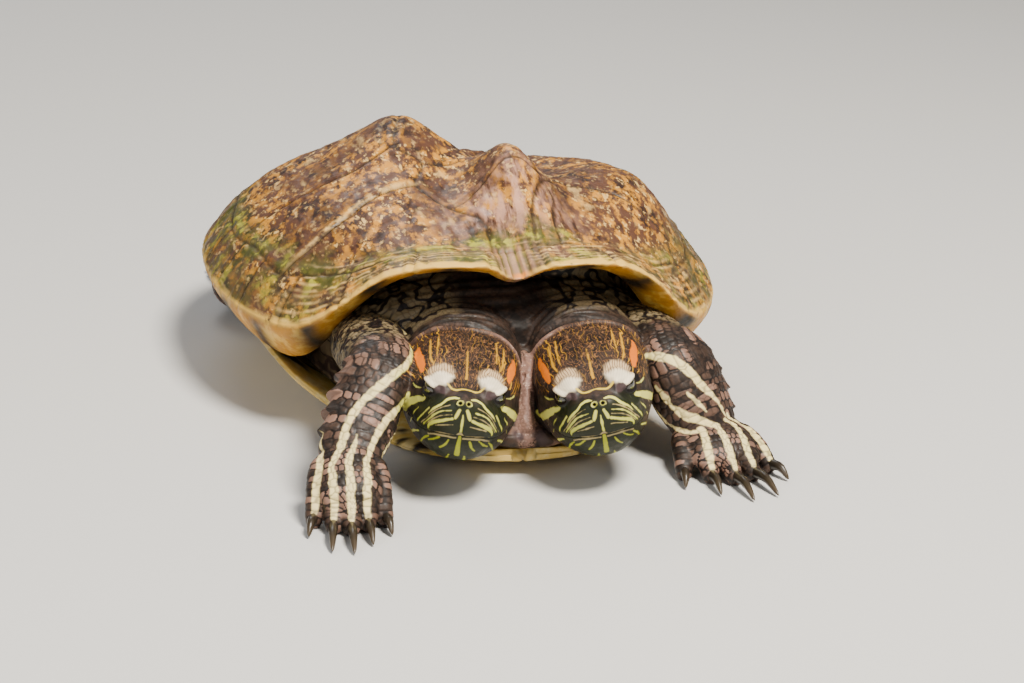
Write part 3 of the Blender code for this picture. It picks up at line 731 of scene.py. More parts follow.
@dataclass(frozen=True)
class ShellForm:
    """The shell's driving sizes, the same as those of the solids.

    The widest place, the outline's and the dome's numbers, those of the rim and of the nuchal
    scute, and most numbers of the humps were made by a fitting program and then rounded.
    """

    width: float = 0.134
    widest_y: float = 0.0100
    reach: float = 0.080
    outline_power: float = 2.35
    dome_height: float = 0.0546
    dome_power: float = 4.2
    rim_side_z: float = 0.0278
    rim_front_z: float = 0.0495
    rim_rear_z: float = 0.0205
    rim_arch_angle: float = 0.635
    nuchal_drop: float = 0.0040
    nuchal_half_width: float = 0.0060
    nuchal_notch: float = 0.0035
    flare: float = 0.0022
    thickness: float = 0.0030
    lip_width: float = 0.0100
    lip_drop: float = 0.0034
    bridge_lip_drop: float = 0.0085
    corner_drop: float = 3.0 * MM
    corner_turn: float = 1.05
    corner_spread: float = 0.33
    humps: tuple[Hump, ...] = (
        Hump(-0.0133, 0.0143, 0.0180, 0.0260, 0.0127),
        Hump(0.0068, -0.0223, 0.0096, 0.0190, 0.0132),
        Hump(0.0035, -0.0430, 0.0095, 0.0150, 0.0047),
        Hump(-0.0058, -0.0060, 0.0080, 0.0240, -0.0027),
        Hump(0.0156, 0.0261, 0.0180, 0.0280, -0.0075),
        Hump(0.0369, -0.0165, 0.0190, 0.0240, 0.0049),
        Hump(0.0480, 0.0100, 0.0160, 0.0320, 0.0042),
        Hump(-0.0340, -0.0220, 0.0180, 0.0220, 0.0030),
        Hump(-0.0480, 0.0420, 0.0160, 0.0300, 0.0016),
    )

    def outline(self, angle: Array) -> Array:
        """The edge in plan. Angle 0 is at the nuchal scute, and grows to the left."""
        ahead, side = np.cos(angle), np.sin(angle)
        x = self.width / 2 * signed_power(side, 2 / self.outline_power)
        y = self.widest_y - self.reach * signed_power(ahead, 2 / self.outline_power)
        y = y + np.where(ahead > 0, self.nuchal_notch * bell(x, self.nuchal_half_width), 0.0)
        return np.stack([x, y], axis=-1)

    @staticmethod
    def turned(angle: Array) -> Array:
        """The size of an angle, from 0 in front to pi at the back."""
        return np.abs((np.asarray(angle) + math.pi) % (2 * math.pi) - math.pi)

    def rim_height(self, angle: Array) -> Array:
        """Height of the edge: arched over the heads, low at the back."""
        turned = self.turned(angle)
        arch = np.exp(-((turned / self.rim_arch_angle) ** 4))
        back = ramp(1.9, math.pi, turned)
        x = self.outline(angle)[..., 0]
        height = (self.rim_side_z + (self.rim_front_z - self.rim_side_z) * arch
                  + (self.rim_rear_z - self.rim_side_z) * back)
        return height - np.where(turned < 1.0, self.nuchal_drop * bell(x, self.nuchal_half_width), 0.0)

    def swelling(self, x: Array, y: Array) -> Array:
        """What the keels and shoulders add to the dome's height."""
        return sum(h.height * bell(x - h.x, h.across) * bell(y - h.y, h.along) for h in self.humps)

    def dome(self, share: Array, angle: Array) -> Array:
        """Points of the outer face, from the middle (share 0) to the edge (1)."""
        share = np.asarray(share, float)
        edge = self.outline(angle)
        middle = np.array([0.0, self.widest_y])
        plan = middle + (edge - middle) * share[..., None]
        rim = self.rim_height(angle)
        z = rim + (self.dome_height - rim) * (1 - share**self.dome_power)
        z = z + self.flare * (ramp(0.78, 1.0, share) - ramp(0.0, 0.9, share))
        z = z + self.swelling(plan[..., 0], plan[..., 1]) * (1 - ramp(0.75, 1.0, share))
        return np.concatenate([plan, z[..., None]], axis=-1)

    def inside(self, share: Array, angle: Array) -> Array:
        """Points of the inner face."""
        return self.dome(share, angle) - [0, 0, self.thickness]

    def lip(self, inset: float, drop_share: float, angle: Array) -> Array:
        """Points of the underside of the marginal scutes."""
        edge = self.outline(angle)
        inward = unit(np.array([0.0, self.widest_y]) - edge)
        turned = self.turned(angle)
        bridge = ramp(0.60, 0.95, turned) * (1 - ramp(1.75, 2.10, turned))
        drop = self.lip_drop + (self.bridge_lip_drop - self.lip_drop) * bridge
        drop = drop + self.corner_drop * bell(turned - self.corner_turn, self.corner_spread)
        plan = edge + inward * inset
        z = self.rim_height(angle) - drop * drop_share
        return np.concatenate([plan, z[..., None]], axis=-1)

    def half_width(self, y: Array) -> Array:
        """Half of the carapace's width in plan at a distance along it."""
        share = np.minimum(np.abs(y - self.widest_y) / self.reach, 1.0)
        return self.width / 2 * (1 - share**self.outline_power) ** (1 / self.outline_power)


@dataclass
class Carapace:
    """The upper shell: scutes, seams, growth rings, keels and the marginal lip."""

    form: ShellForm
    grid: int = 150
    lip_rings: int = 12
    inner_rings: int = 8
    hollow_share: float = 0.80
    marginal_share: float = 0.880
    marginals: int = 12
    nuchal_angle: float = 0.070
    seam_half_width: float = 0.34 * MM
    seam_depth: float = 0.34 * MM
    costal_step: float = 0.60 * MM
    pleat_width: float = 1.9 * MM
    pleat_height: float = 0.42 * MM
    pleat_x: float = 0.4 * MM
    pleat_span: float = 8.6 * MM

    # Seams in plan, in millimetres. The chains run back along the vertebral scutes, and
    # the last point of each costal seam is where it meets the marginal scutes. Some of the
    # numbers in front were made by a measuring program.
    RIGHT_CHAIN = ((-4.0, -59.0), (-4.5, -46.0), (-10.0, -33.0), (-16.5, -19.0), (-13.0, -8.0),
                   (-19.0, 0.0), (-14.0, 22.0), (-19.0, 31.0), (-12.0, 47.0), (-17.0, 57.0),
                   (-13.0, 78.0))
    LEFT_CHAIN = ((6.5, -59.5), (8.0, -46.0), (14.0, -31.0), (20.0, -18.0), (16.0, -6.0),
                  (22.0, 3.0), (16.0, 23.0), (21.0, 32.0), (13.0, 47.0), (18.0, 57.0),
                  (13.0, 78.0))
    EXTRA_STRIP = ((13.0, -57.5), (13.6, -46.0), (15.5, -37.0), (14.0, -31.0))
    CROSS_SEAMS = (((-10.0, -33.0), (2.0, -30.0), (14.0, -31.0)),
                   ((-13.0, -8.0), (1.0, -4.0), (16.0, -6.0)),
                   ((-14.0, 22.0), (0.0, 26.0), (16.0, 23.0)),
                   ((-12.0, 47.0), (0.0, 50.0), (13.0, 47.0)))
    COSTAL_SEAMS = (((-16.5, -19.0), (-28.6, -23.5), (-35.0, -27.5), (-41.5, -30.0), (-53.0, -31.0)),
                    ((-19.0, 0.0), (-30.0, -4.5), (-42.0, -3.0), (-58.0, 1.0)),
                    ((-19.0, 31.0), (-35.0, 33.0), (-53.0, 38.0)),
                    ((-17.0, 57.0), (-25.0, 62.0), (-31.0, 68.0)),
                    ((20.0, -18.0), (30.0, -21.0), (40.0, -25.0), (53.0, -30.0)),
                    ((22.0, 3.0), (34.0, 3.0), (58.0, 4.0)),
                    ((21.0, 32.0), (36.0, 35.0), (53.0, 40.0)),
                    ((18.0, 57.0), (25.0, 62.0), (31.0, 68.0)))

    def build(self) -> Piece:
        """Model the whole carapace and keep its masks."""
        share, angle = self.square_grid()
        top = self.form.dome(share, angle)
        side = 2 * self.grid + 1
        normal = self.grid_normals(top.reshape(side, side, 3))
        top = top.reshape(-1, 3)
        masks = self.masks(top, share.ravel(), angle.ravel())
        top = top + normal * self.relief(top, share.ravel(), angle.ravel(), masks)[:, None]
        numbers = np.arange(side * side).reshape(side, side)
        corners = (numbers[:-1, :-1], numbers[1:, :-1], numbers[1:, 1:], numbers[:-1, 1:])
        faces = [np.stack([corner.ravel() for corner in corners], axis=1)]
        border = np.concatenate([numbers[:-1, 0], numbers[-1, :-1], numbers[:0:-1, -1],
                                 numbers[0, :0:-1]])
        rim_angle = angle.reshape(side, side).ravel()[border]
        points, count, last = [top], len(top), border
        names = [name for name in masks if name not in ("seam_gap", "growth")]
        columns = [np.stack([masks[name] for name in names], axis=1)]
        for ring, ring_masks in self.under_rings(top[border], rim_angle):
            numbers = count + np.arange(len(border))
            faces.append(ring_faces(last, numbers))
            points.append(ring)
            columns.append(np.stack([ring_masks.get(name, np.zeros(len(ring))) for name in names], axis=1))
            count, last = count + len(ring), numbers
        points.append(self.form.inside(np.zeros(1), np.zeros(1)))
        columns.append(np.zeros((1, len(names))))
        fan = [[count, a, b] for a, b in zip(last, np.roll(last, -1))]
        item = add_mesh("carapace_shell", np.vstack(points), np.vstack(faces).tolist() + fan)
        face_outwards(item)
        for name, column in zip(names, np.vstack(columns).T):
            write_mask(item, name, column)
        return item

    def square_grid(self) -> tuple[Array, Array]:
        """Share and angle over a square grid that is bent into a disc."""
        steps = np.linspace(-1, 1, 2 * self.grid + 1)
        u, v = np.meshgrid(steps, steps, indexing="ij")
        share = np.maximum(np.abs(u), np.abs(v))
        safe_u, safe_v = np.where(u == 0, 1e-9, u), np.where(v == 0, 1e-9, v)
        wide = np.abs(u) >= np.abs(v)
        angle = np.where(wide, math.pi / 4 * v / safe_u + np.where(u < 0, math.pi, 0),
                         math.pi / 2 - math.pi / 4 * u / safe_v + np.where(v < 0, math.pi, 0))
        return share, np.where(share == 0, 0.0, angle)

    @staticmethod
    def grid_normals(points: Array) -> Array:
        """Upward normals of a grid of points."""
        normal = np.cross(np.gradient(points, axis=0), np.gradient(points, axis=1))
        normal = unit(normal.reshape(-1, 3))
        return normal * np.sign(normal[:, 2:3] + 1e-9)

    def marginal_angles(self) -> list[float]:
        """Where the seams between marginal scutes meet the edge, on the left side."""
        angles = np.linspace(self.nuchal_angle, math.pi, 800)
        edge = self.form.outline(angles)
        length = np.concatenate([[0], np.cumsum(np.linalg.norm(np.diff(edge, axis=0), axis=1))])
        wanted = np.linspace(0, length[-1], self.marginals + 1)
        return list(np.interp(wanted, length, angles))

    def seams(self) -> list[Array]:
        """Every seam of the dome as a line of places on it."""
        lines = [self.RIGHT_CHAIN, self.LEFT_CHAIN, self.EXTRA_STRIP, *self.CROSS_SEAMS, *self.COSTAL_SEAMS]
        out = [self.drop_on(spline(np.array(line) * MM, 6 * len(line))) for line in lines]
        around = np.linspace(0, 2 * math.pi, 361)
        wave = self.marginal_share + 0.012 * np.cos(around * 12) - 0.02 * bell(self.form.turned(around), 0.3)
        out.append(self.form.dome(wave, around))
        for angle in self.marginal_angles():
            for sign in (-1, 1):
                shares = np.linspace(self.marginal_share, 1.0, 5)
                out.append(self.form.dome(shares, np.full(5, sign * angle)))
        return out

    def drop_on(self, plan: Array) -> Array:
        """Places on the dome over or under points in plan."""
        middle = np.array([0.0, self.form.widest_y])
        offset = plan - middle
        angles = np.linspace(-math.pi, math.pi, 2881)
        edge = self.form.outline(angles) - middle
        heading = np.arctan2(edge[:, 0], -edge[:, 1])
        wanted = np.arctan2(offset[:, 0], -offset[:, 1])
        angle = np.interp(wanted, heading, angles)
        reach = np.linalg.norm(self.form.outline(angle) - middle, axis=1)
        share = np.linalg.norm(offset, axis=1) / reach
        return self.form.dome(np.minimum(share, 1.0), angle)

    def masks(self, points: Array, share: Array, angle: Array) -> dict[str, Array]:
        """What the material reads: seams, edge, pleats, growth, and a pink patch on the front keel that is
        partly wear of the horn and partly a painted highlight.
        """
        seam = np.full(len(points), FAR)
        for line in self.seams():
            seam = np.minimum(seam, distance_to(points, line))
        wobble = soft_noise(points, 3.5 * MM, 3) * 0.12 * MM
        x, y = points[:, 0], points[:, 1]
        pleat, ridge = self.pleats(x)
        pleat = pleat * (1 - ramp(-58 * MM, -54.5 * MM, y))
        turned = self.form.turned(angle)
        front_band = bell(turned - 0.30, 0.24)
        border = bell(share - self.marginal_share, 0.055) * ramp(2.3, 1.7, turned)
        gap_lines = (1 - share) * 72 / 0.62 * 2 * math.pi / 2.2 + soft_noise(points, 7 * MM, 15) * 1.5
        outer_part = ramp(0.80, 0.87, share) * (1 - pleat)
        nuchal_film = ramp(27 * MM, 14 * MM, np.abs(x)) * ramp(-47 * MM, -53 * MM, y)
        return {
            "seam": 1 - ramp(self.seam_half_width * 0.6, self.seam_half_width * 2.2, seam + wobble),
            "growth": 1 - ramp(1.0 * MM, 9.0 * MM, seam),
            "seam_gap": seam / MM,
            "edge": ramp(0.0, 0.010, share - 0.991 + 0.030 * front_band
                               + 0.004 * wobble / (0.12 * MM)) * (1 - pleat),
            "line": bell(np.sin(gap_lines) - 1.0, 0.45) * ramp(-30 * MM, -44 * MM, y) * outer_part,
            "under": np.zeros(len(points)),
            "blotch": np.zeros(len(points)),
            "pleat": pleat,
            "ridge": ridge,
            "tip": bell(x - 1.2 * MM, 1.6 * MM) * ramp(0.975, 0.99, share),
            "algae": np.maximum(np.maximum(border * (0.55 + 0.45 * (x < 0)), nuchal_film * (1 - pleat)),
                                0.45 * ramp(0.82, 0.88, share) * ramp(2.3, 1.7, turned)),
            "outer": outer_part * ramp(0.35, 0.60, turned),
            # The pink patch on the front keel: partly wear of the horn, partly a painted highlight
            "worn": bell(np.hypot((x - 3 * MM) / (14 * MM), (y + 43 * MM) / (15 * MM)), 1.0),
            "costal_lip": self.step_profile(points)[1],
        }

    def pleats(self, x: Array) -> tuple[Array, Array]:
        """Share and wave of the pleats over the necks, whose ridges are rubbed, from places across the shell.
        """
        offset = x - self.pleat_x
        wave = 0.5 + 0.5 * np.cos(offset / self.pleat_width * 2 * math.pi)
        return bell(offset / self.pleat_span, 1.0) ** 4, wave

    def step_profile(self, points: Array) -> tuple[Array, Array]:
        """Height and pale lip where the second right costal overlaps the first."""
        line = self.drop_on(spline(np.array(self.COSTAL_SEAMS[0]) * MM, 30))
        gap = distance_to(points, line)
        along = np.interp(-points[:, 0], -line[:, 0], line[:, 1])
        behind = points[:, 1] > along
        ends = ramp(-14 * MM, -20 * MM, points[:, 0]) * ramp(-56 * MM, -40 * MM, points[:, 0])
        height = np.where(behind, 1 - ramp(0.4 * MM, 7 * MM, gap), 0.0) * ends
        width = 0.6 * MM + 0.5 * MM * (points[:, 0] > -30 * MM)
        return height, np.where(behind, bell(gap - 0.7 * MM, width), 0.0) * ends

    def relief(self, points: Array, share: Array, angle: Array, masks: dict[str, Array]) -> Array:
        """Height of the fine relief over the dome."""
        gap = masks["seam_gap"] * MM
        height = -self.seam_depth * bell(gap, self.seam_half_width)
        height += 0.25 * MM * bell(gap - 1.6 * MM, 1.0 * MM)
        rings = np.sin(gap / (0.75 * MM) + soft_noise(points, 9 * MM, 5) * 2.0)
        height += 0.075 * MM * rings * masks["growth"] * ramp(0.8 * MM, 1.8 * MM, gap)
        height += self.costal_step * self.step_profile(points)[0]
        radial = np.stack([np.cos(angle) * 38.0, np.sin(angle) * 38.0, share * 9.0], axis=1)
        height += 0.11 * MM * soft_noise(radial, 1.0, 11) * ramp(0.15, 0.4, share)
        ridged = points * [1.0, 0.35, 1.0]
        height += 0.13 * MM * soft_noise(ridged, 1.3 * MM, 12)
        height += 0.30 * MM * soft_noise(points, 8 * MM, 13)
        height += 0.16 * MM * soft_noise(points, 3.1 * MM, 14)
        height += self.pleat_height * (2 * masks["ridge"] - 1) * masks["pleat"]
        edge_seam = bell(gap, 1.6 * MM) * ramp(0.93, 1.0, share)
        return height - 0.25 * MM * edge_seam

    def under_rings(self, rim: Array, angle: Array) -> Iterable[tuple[Array, dict[str, Array]]]:
        """Rings from the edge round the marginals' underside and up into the hollow.

        Args:
            rim: the edge's points.
            angle: the angle of each.

        Yields:
            The points of each ring and its masks.
        """
        form = self.form
        under = [(0.04, 0.25), (0.45, 0.75), (0.90, 1.0), (1.15, 0.70)]
        keys = [rim]
        keys += [form.lip(form.lip_width * inset, drop, angle) for inset, drop in under]
        keys.append(form.inside(np.full(len(angle), self.hollow_share), angle))
        flat = np.stack(keys).reshape(len(keys), -1)
        seam_angles = np.array(self.marginal_angles())
        seam = np.abs(form.turned(angle)[:, None] - seam_angles[None]).min(1) * 55 * MM
        mid_angles = 0.5 * (seam_angles[1:] + seam_angles[:-1])
        middle = np.abs(form.turned(angle)[:, None] - mid_angles[None]).min(1) * 55 * MM
        rings = spline(flat, self.lip_rings * 5 // 4 + 1)
        for number, row in enumerate(rings[1:], start=1):
            ring = row.reshape(-1, 3)
            depth = number / (len(rings) - 1)
            lift = np.array([0, 0, 1.0]) * (0.25 * MM * bell(seam, 0.5 * MM))[:, None]
            wobble = soft_noise(ring, 4 * MM, 21)
            blotch = bell(middle + wobble * 1.2 * MM, 3.4 * MM) * ramp(0.06, 0.16, depth)
            pleat, ridge = self.pleats(ring[:, 0])
            pleat = pleat * (ring[:, 1] < -0.05)
            yield ring + lift, {
                "seam": bell(seam, 0.5 * MM) * 0.6,
                "edge": (1.0 - ramp(0.02, 0.12, depth)) * (1 - pleat),
                "under": ramp(0.02, 0.12, depth) * (1 - pleat * ramp(0.5, 0.3, depth)),
                "pleat": pleat, "ridge": ridge,
                "blotch": blotch * (1 - ramp(0.86, 0.97, depth)),
            }
        for share in np.linspace(self.hollow_share, 0.05, self.inner_rings)[1:]:
            yield form.inside(np.full(len(angle), share), angle), {"under": np.ones(len(angle))}


@dataclass
class Plastron:
    """The lower shell: two lobes, and the bridges that rise to the carapace."""

    form: ShellForm
    front_y: float = -0.0820
    rear_y: float = 0.0760
    lobe_half_width: float = 0.0325
    lobe_lengths: tuple[float, float] = (0.050, 0.044)
    bridge_y: tuple[float, float] = (-0.0440, 0.0360)
    bridge_turn: float = 0.0080
    bridge_inset: float = 0.0075
    bridge_half_width: float = 0.0590
    bridge_rise: float = 0.0175
    belly: tuple[float, float] = (0.0300, 0.0500)
    thickness: float = 0.0030
    lobe_rise: tuple[float, float] = (0.0040, 0.0030)
    anal_notch: float = 0.0060
    rows: int = 170
    columns: int = 90
    SEAM_Y = (-0.066, -0.036, -0.010, 0.026, 0.050)

    def half_width(self, y: Array) -> Array:
        """Half of the width in plan at a distance along the plate."""
        front, rear = self.lobe_lengths
        ends = np.where(y < 0, (self.front_y + front - y) / front, (y - self.rear_y + rear) / rear)
        lobe = self.lobe_half_width * np.maximum(1 - np.maximum(ends, 0) ** 2.6, 0.004) ** (1 / 2.3)
        edge = np.minimum(self.form.half_width(y) - self.bridge_inset, self.bridge_half_width)
        start, stop = self.bridge_y
        bridge = ramp(start - self.bridge_turn, start + self.bridge_turn, y)
        bridge = bridge * (1 - ramp(stop - self.bridge_turn, stop + self.bridge_turn, y))
        return lobe + (edge - lobe) * bridge

    def height(self, x: Array, y: Array) -> Array:
        """Height of the underside."""
        belly_x, belly_y = self.belly
        side = np.maximum(np.abs(x) - belly_x, 0) / (self.bridge_half_width - belly_x)
        front = np.maximum(-belly_y - y, 0) / (-belly_y - self.front_y)
        rear = np.maximum(y - belly_y, 0) / (self.rear_y - belly_y)
        return self.bridge_rise * side**1.4 + self.lobe_rise[0] * front**1.6 + self.lobe_rise[1] * rear**1.6

    def build(self) -> Piece:
        """Model the plate as rings across it, with a rounded edge."""
        sway = np.linspace(0, 1, self.rows)
        y = self.front_y + (self.rear_y - self.front_y) * (0.5 - 0.5 * np.cos(math.pi * sway))
        half = self.half_width(y)
        turn = np.linspace(-math.pi / 2, math.pi / 2, self.columns)
        share = np.sin(turn)
        rows = []
        for y_row, half_row in zip(y, half):
            x = half_row * share
            rear = max(y_row - 0.060, 0.0) / (self.rear_y - 0.060)
            notch = self.anal_notch * rear * np.maximum(1 - np.abs(x) / 0.012, 0)
            round_off = np.sqrt(np.maximum(1 - (np.abs(share)) ** 10, 0.0))
            z = self.height(x, np.full(len(x), y_row))
            place_y = y_row - notch
            middle = z + self.thickness / 2
            rise = self.thickness / 2 * round_off
            under = np.stack([x, place_y, middle - rise], axis=1)
            over = np.stack([x * 0.985, y_row * 0.995 - notch, middle + rise], axis=1)
            rows.append(np.vstack([under, over[::-1]]))
        item = closed_piece("plastron_shell", np.array(rows))
        self.dress(item)
        return item

    def dress(self, item: Piece) -> None:
        """Cut the seams, wave the surface a little and keep the masks."""
        points, normals = read_points(item), read_points(item, "normal")
        x, y = points[:, 0], points[:, 1]
        seam = np.abs(x - 0.4 * MM * np.sin(y / (6 * MM)))
        for number, seam_y in enumerate(self.SEAM_Y):
            bend = seam_y + (0.06 if number < 2 else -0.03) * np.abs(x) + 0.5 * MM * np.sin(x / (5 * MM))
            seam = np.minimum(seam, np.abs(y - bend))
        seam = np.minimum(seam, np.abs(np.abs(x) - 0.0415 - 3 * MM * np.sin(y / (11 * MM))) + 0.2 * MM)
        outside = ramp(0.2, -0.2, normals[:, 2])
        height = -0.32 * MM * bell(seam, 0.45 * MM) + 0.10 * MM * soft_noise(points, 6 * MM, 31)
        height += 0.04 * MM * np.sin(seam / (0.8 * MM)) * (1 - ramp(2 * MM, 9 * MM, seam))
        height *= ramp(-0.9 * MM, 2.5 * MM, points[:, 2]) * 0.9 + 0.1
        moved = points + normals * height[:, None] * outside[:, None]
        moved[:, 2] = np.maximum(moved[:, 2], 0.0)
        write_points(item, moved)
        blotch = soft_noise(points * [1.0, 0.75, 1.0], 8.5 * MM, 33) + 0.35 * soft_noise(points, 3 * MM, 34)
        write_mask(item, "seam", bell(seam, 0.5 * MM) * outside)
        write_mask(item, "blotch", ramp(0.16, 0.34, blotch - 0.25 * bell(seam, 2.5 * MM)))


# ---- flesh


class Side(Enum):
    """The animal's own right and left."""

    RIGHT = -1
    LEFT = 1

    @property
    def word(self) -> str:
        """The side as the nodes' names have it."""
        return self.name.lower()


@dataclass(frozen=True)
class HeadPose:
    """Where a head is: its snout's tip, its turn in degrees and its neck's root."""

    snout: tuple[float, float, float]
    turn: tuple[float, float, float]
    root: tuple[float, float, float]


# The poses are the solids' own; their numbers come mostly from a fitting program
HEAD_POSES = {
    Side.RIGHT: HeadPose((-0.0201, -0.1040, 0.0236), (-11.0, 0.0, 6.0), (-0.0120, -0.0420, 0.0270)),
    Side.LEFT: HeadPose((0.0129, -0.1030, 0.0221), (-8.5, 3.0, -12.5), (0.0130, -0.0420, 0.0270)),
}
# Distance from the snout, half-width, height over and depth under the head's axis
HEAD_STATIONS = (
    (-0.0002, 0.0026, 0.0022, 0.0024),
    (0.0008, 0.0050, 0.0036, 0.0050),
    (0.0030, 0.0072, 0.0046, 0.0090),
    (0.0060, 0.0089, 0.0056, 0.0122),
    (0.0100, 0.0106, 0.0070, 0.0140),
    (0.0150, 0.0123, 0.0082, 0.0143),
    (0.0220, 0.0136, 0.0096, 0.0137),
    (0.0300, 0.0138, 0.0106, 0.0128),
    (0.0400, 0.0134, 0.0106, 0.0120),
)


class Tint(Enum):
    """The paints of the skin, each a mask that the skin's material reads."""

    STRIPE = "stripe"
    GOLD = "gold"
    ORANGE = "orange"
    GREEN = "green"
    TAN = "tan"
    BROW = "brow"


# Lines of the face by their paint: places and half-widths in millimetres of the head's own
# frame, on both of its sides. Most of the places were made by a measuring program.
FACE_LINES = {
    Tint.BROW: (
        (((0.0, 4.8, 4.9), (0.9, 4.6, 4.9), (2.0, 4.2, 4.9), (3.0, 4.4, 5.1), (4.4, 5.4, 5.8)),
         (0.22, 0.30, 0.34, 0.32, 0.22)),
    ),
    Tint.STRIPE: (
        (((1.5, 1.5, 3.8), (2.5, 1.9, 3.8), (3.9, 2.0, 3.2), (5.2, 1.9, 1.9), (6.6, 2.8, 0.4),
          (7.4, 4.2, -1.4)), (0.22, 0.34, 0.36, 0.32, 0.26, 0.10)),
        (((0.9, 0.0, 1.7), (1.3, 0.0, 0.7), (1.7, 0.0, -0.3)), (0.34, 0.42, 0.34)),
        (((0.0, 0.0, 0.6), (0.0, 0.0, -1.1), (0.0, 0.3, -3.4)), (0.12, 0.28, 0.24)),
        (((2.3, 0.1, -0.6), (4.3, 0.9, -1.5), (6.1, 2.6, -2.8), (6.8, 4.2, -4.1), (6.9, 5.6, -5.5)),
         (0.32, 0.40, 0.40, 0.34, 0.22)),
        (((2.7, 0.3, 1.3), (5.3, 1.3, 0.3), (6.9, 3.0, -1.7), (7.8, 5.8, -4.4)), (0.10, 0.17, 0.20, 0.15)),
        (((7.5, 4.0, 0.1), (8.6, 6.6, -2.6), (9.1, 10.0, -6.0)), (0.20, 0.24, 0.15)),
        (((9.2, 9.0, -1.8), (9.8, 11.5, -4.4), (10.2, 14.0, -7.0)), (0.08, 0.15, 0.08)),
        (((9.5, 7.6, 1.0), (10.6, 11.0, -0.9), (11.8, 14.6, -3.0), (12.9, 19.0, -5.0), (13.4, 25.0, -6.0),
          (13.2, 33.0, -6.0)), (0.45, 0.85, 0.95, 0.75, 0.60, 0.45)),
        (((9.7, 11.2, 2.0), (10.4, 12.6, 1.6), (11.2, 14.6, 1.6)), (0.12, 0.20, 0.12)),
        (((8.2, 10.0, -7.6), (9.6, 15.0, -9.0), (10.2, 22.0, -9.6), (10.2, 31.0, -9.6)),
         (0.20, 0.34, 0.38, 0.30)),
        (((4.0, 9.0, -10.6), (5.0, 15.0, -12.0), (5.4, 24.0, -12.6), (5.4, 33.0, -12.4)),
         (0.25, 0.36, 0.40, 0.30)),
    ),
    Tint.TAN: (
        (((0.5, 1.0, -3.9), (2.6, 1.2, -3.7), (4.6, 2.1, -3.7), (6.2, 4.0, -4.6)),
         (0.45, 0.50, 0.48, 0.25)),
        (((3.2, 0.8, 2.3), (5.0, 1.5, 1.3), (6.6, 3.0, -0.6), (7.6, 5.0, -2.9), (8.2, 7.0, -4.6)),
         (0.06, 0.11, 0.12, 0.10, 0.06)),
        (((2.5, 0.2, 0.4), (4.8, 1.1, -0.5), (6.5, 2.8, -2.2), (7.4, 5.0, -4.2)), (0.07, 0.12, 0.12, 0.07)),
        (((2.0, 0.4, -2.0), (3.8, 1.1, -2.5), (5.3, 2.4, -3.2)), (0.06, 0.12, 0.07)),
        (((10.2, 9.6, 0.2), (10.9, 12.6, -2.6), (11.4, 15.0, -5.6)), (0.06, 0.12, 0.06)),
        (((0.9, 1.8, -5.6), (3.0, 2.1, -5.5), (5.2, 3.4, -5.8), (6.8, 5.8, -6.8)),
         (0.20, 0.24, 0.22, 0.15)),
    ),
    Tint.GREEN: (
        (((6.4, 6.0, -7.2), (7.0, 8.2, -8.4), (7.4, 11.0, -9.6)), (0.14, 0.26, 0.16)),
        (((1.6, 6.4, -9.6), (1.8, 9.0, -11.4), (2.0, 12.0, -12.8)), (0.14, 0.28, 0.22)),
        (((0.0, 1.5, -5.2), (0.0, 3.4, -7.2), (0.0, 6.2, -9.3)), (0.32, 0.46, 0.60)),
        (((2.3, 2.7, -6.3), (2.8, 3.8, -7.4), (3.4, 5.2, -8.2)), (0.20, 0.26, 0.18)),
        (((4.3, 3.2, -6.1), (5.1, 4.6, -7.2), (6.0, 6.4, -8.0)), (0.18, 0.24, 0.16)),
    ),
    Tint.ORANGE: (
        (((10.0, 15.0, 4.9), (10.4, 18.0, 5.5), (10.9, 21.0, 5.9), (11.2, 24.0, 5.9), (11.2, 26.8, 6.3)),
         (0.55, 1.05, 1.05, 0.85, 0.35)),
    ),
    Tint.GOLD: (
        (((8.6, 28.0, 8.3), (8.6, 23.0, 7.8), (8.5, 18.3, 7.2), (7.9, 15.6, 7.0)),
         (0.20, 0.30, 0.26, 0.12)),
        (((6.8, 28.5, 9.3), (7.0, 23.0, 8.6), (7.0, 18.4, 7.8)), (0.15, 0.22, 0.12)),
        (((0.0, 20.3, 9.0), (0.0, 14.6, 8.1), (0.0, 11.0, 7.2), (0.0, 8.5, 6.4)), (0.12, 0.20, 0.30, 0.34)),
    ),
}
MOUTH_LINE = ((0.0, 1.2, -4.7), (2.5, 1.4, -4.6), (4.5, 2.3, -4.7), (6.4, 4.6, -5.3), (7.8, 7.4, -5.7),
              (9.4, 11.0, -5.3), (10.6, 14.0, -4.5), (11.6, 17.0, -3.6))


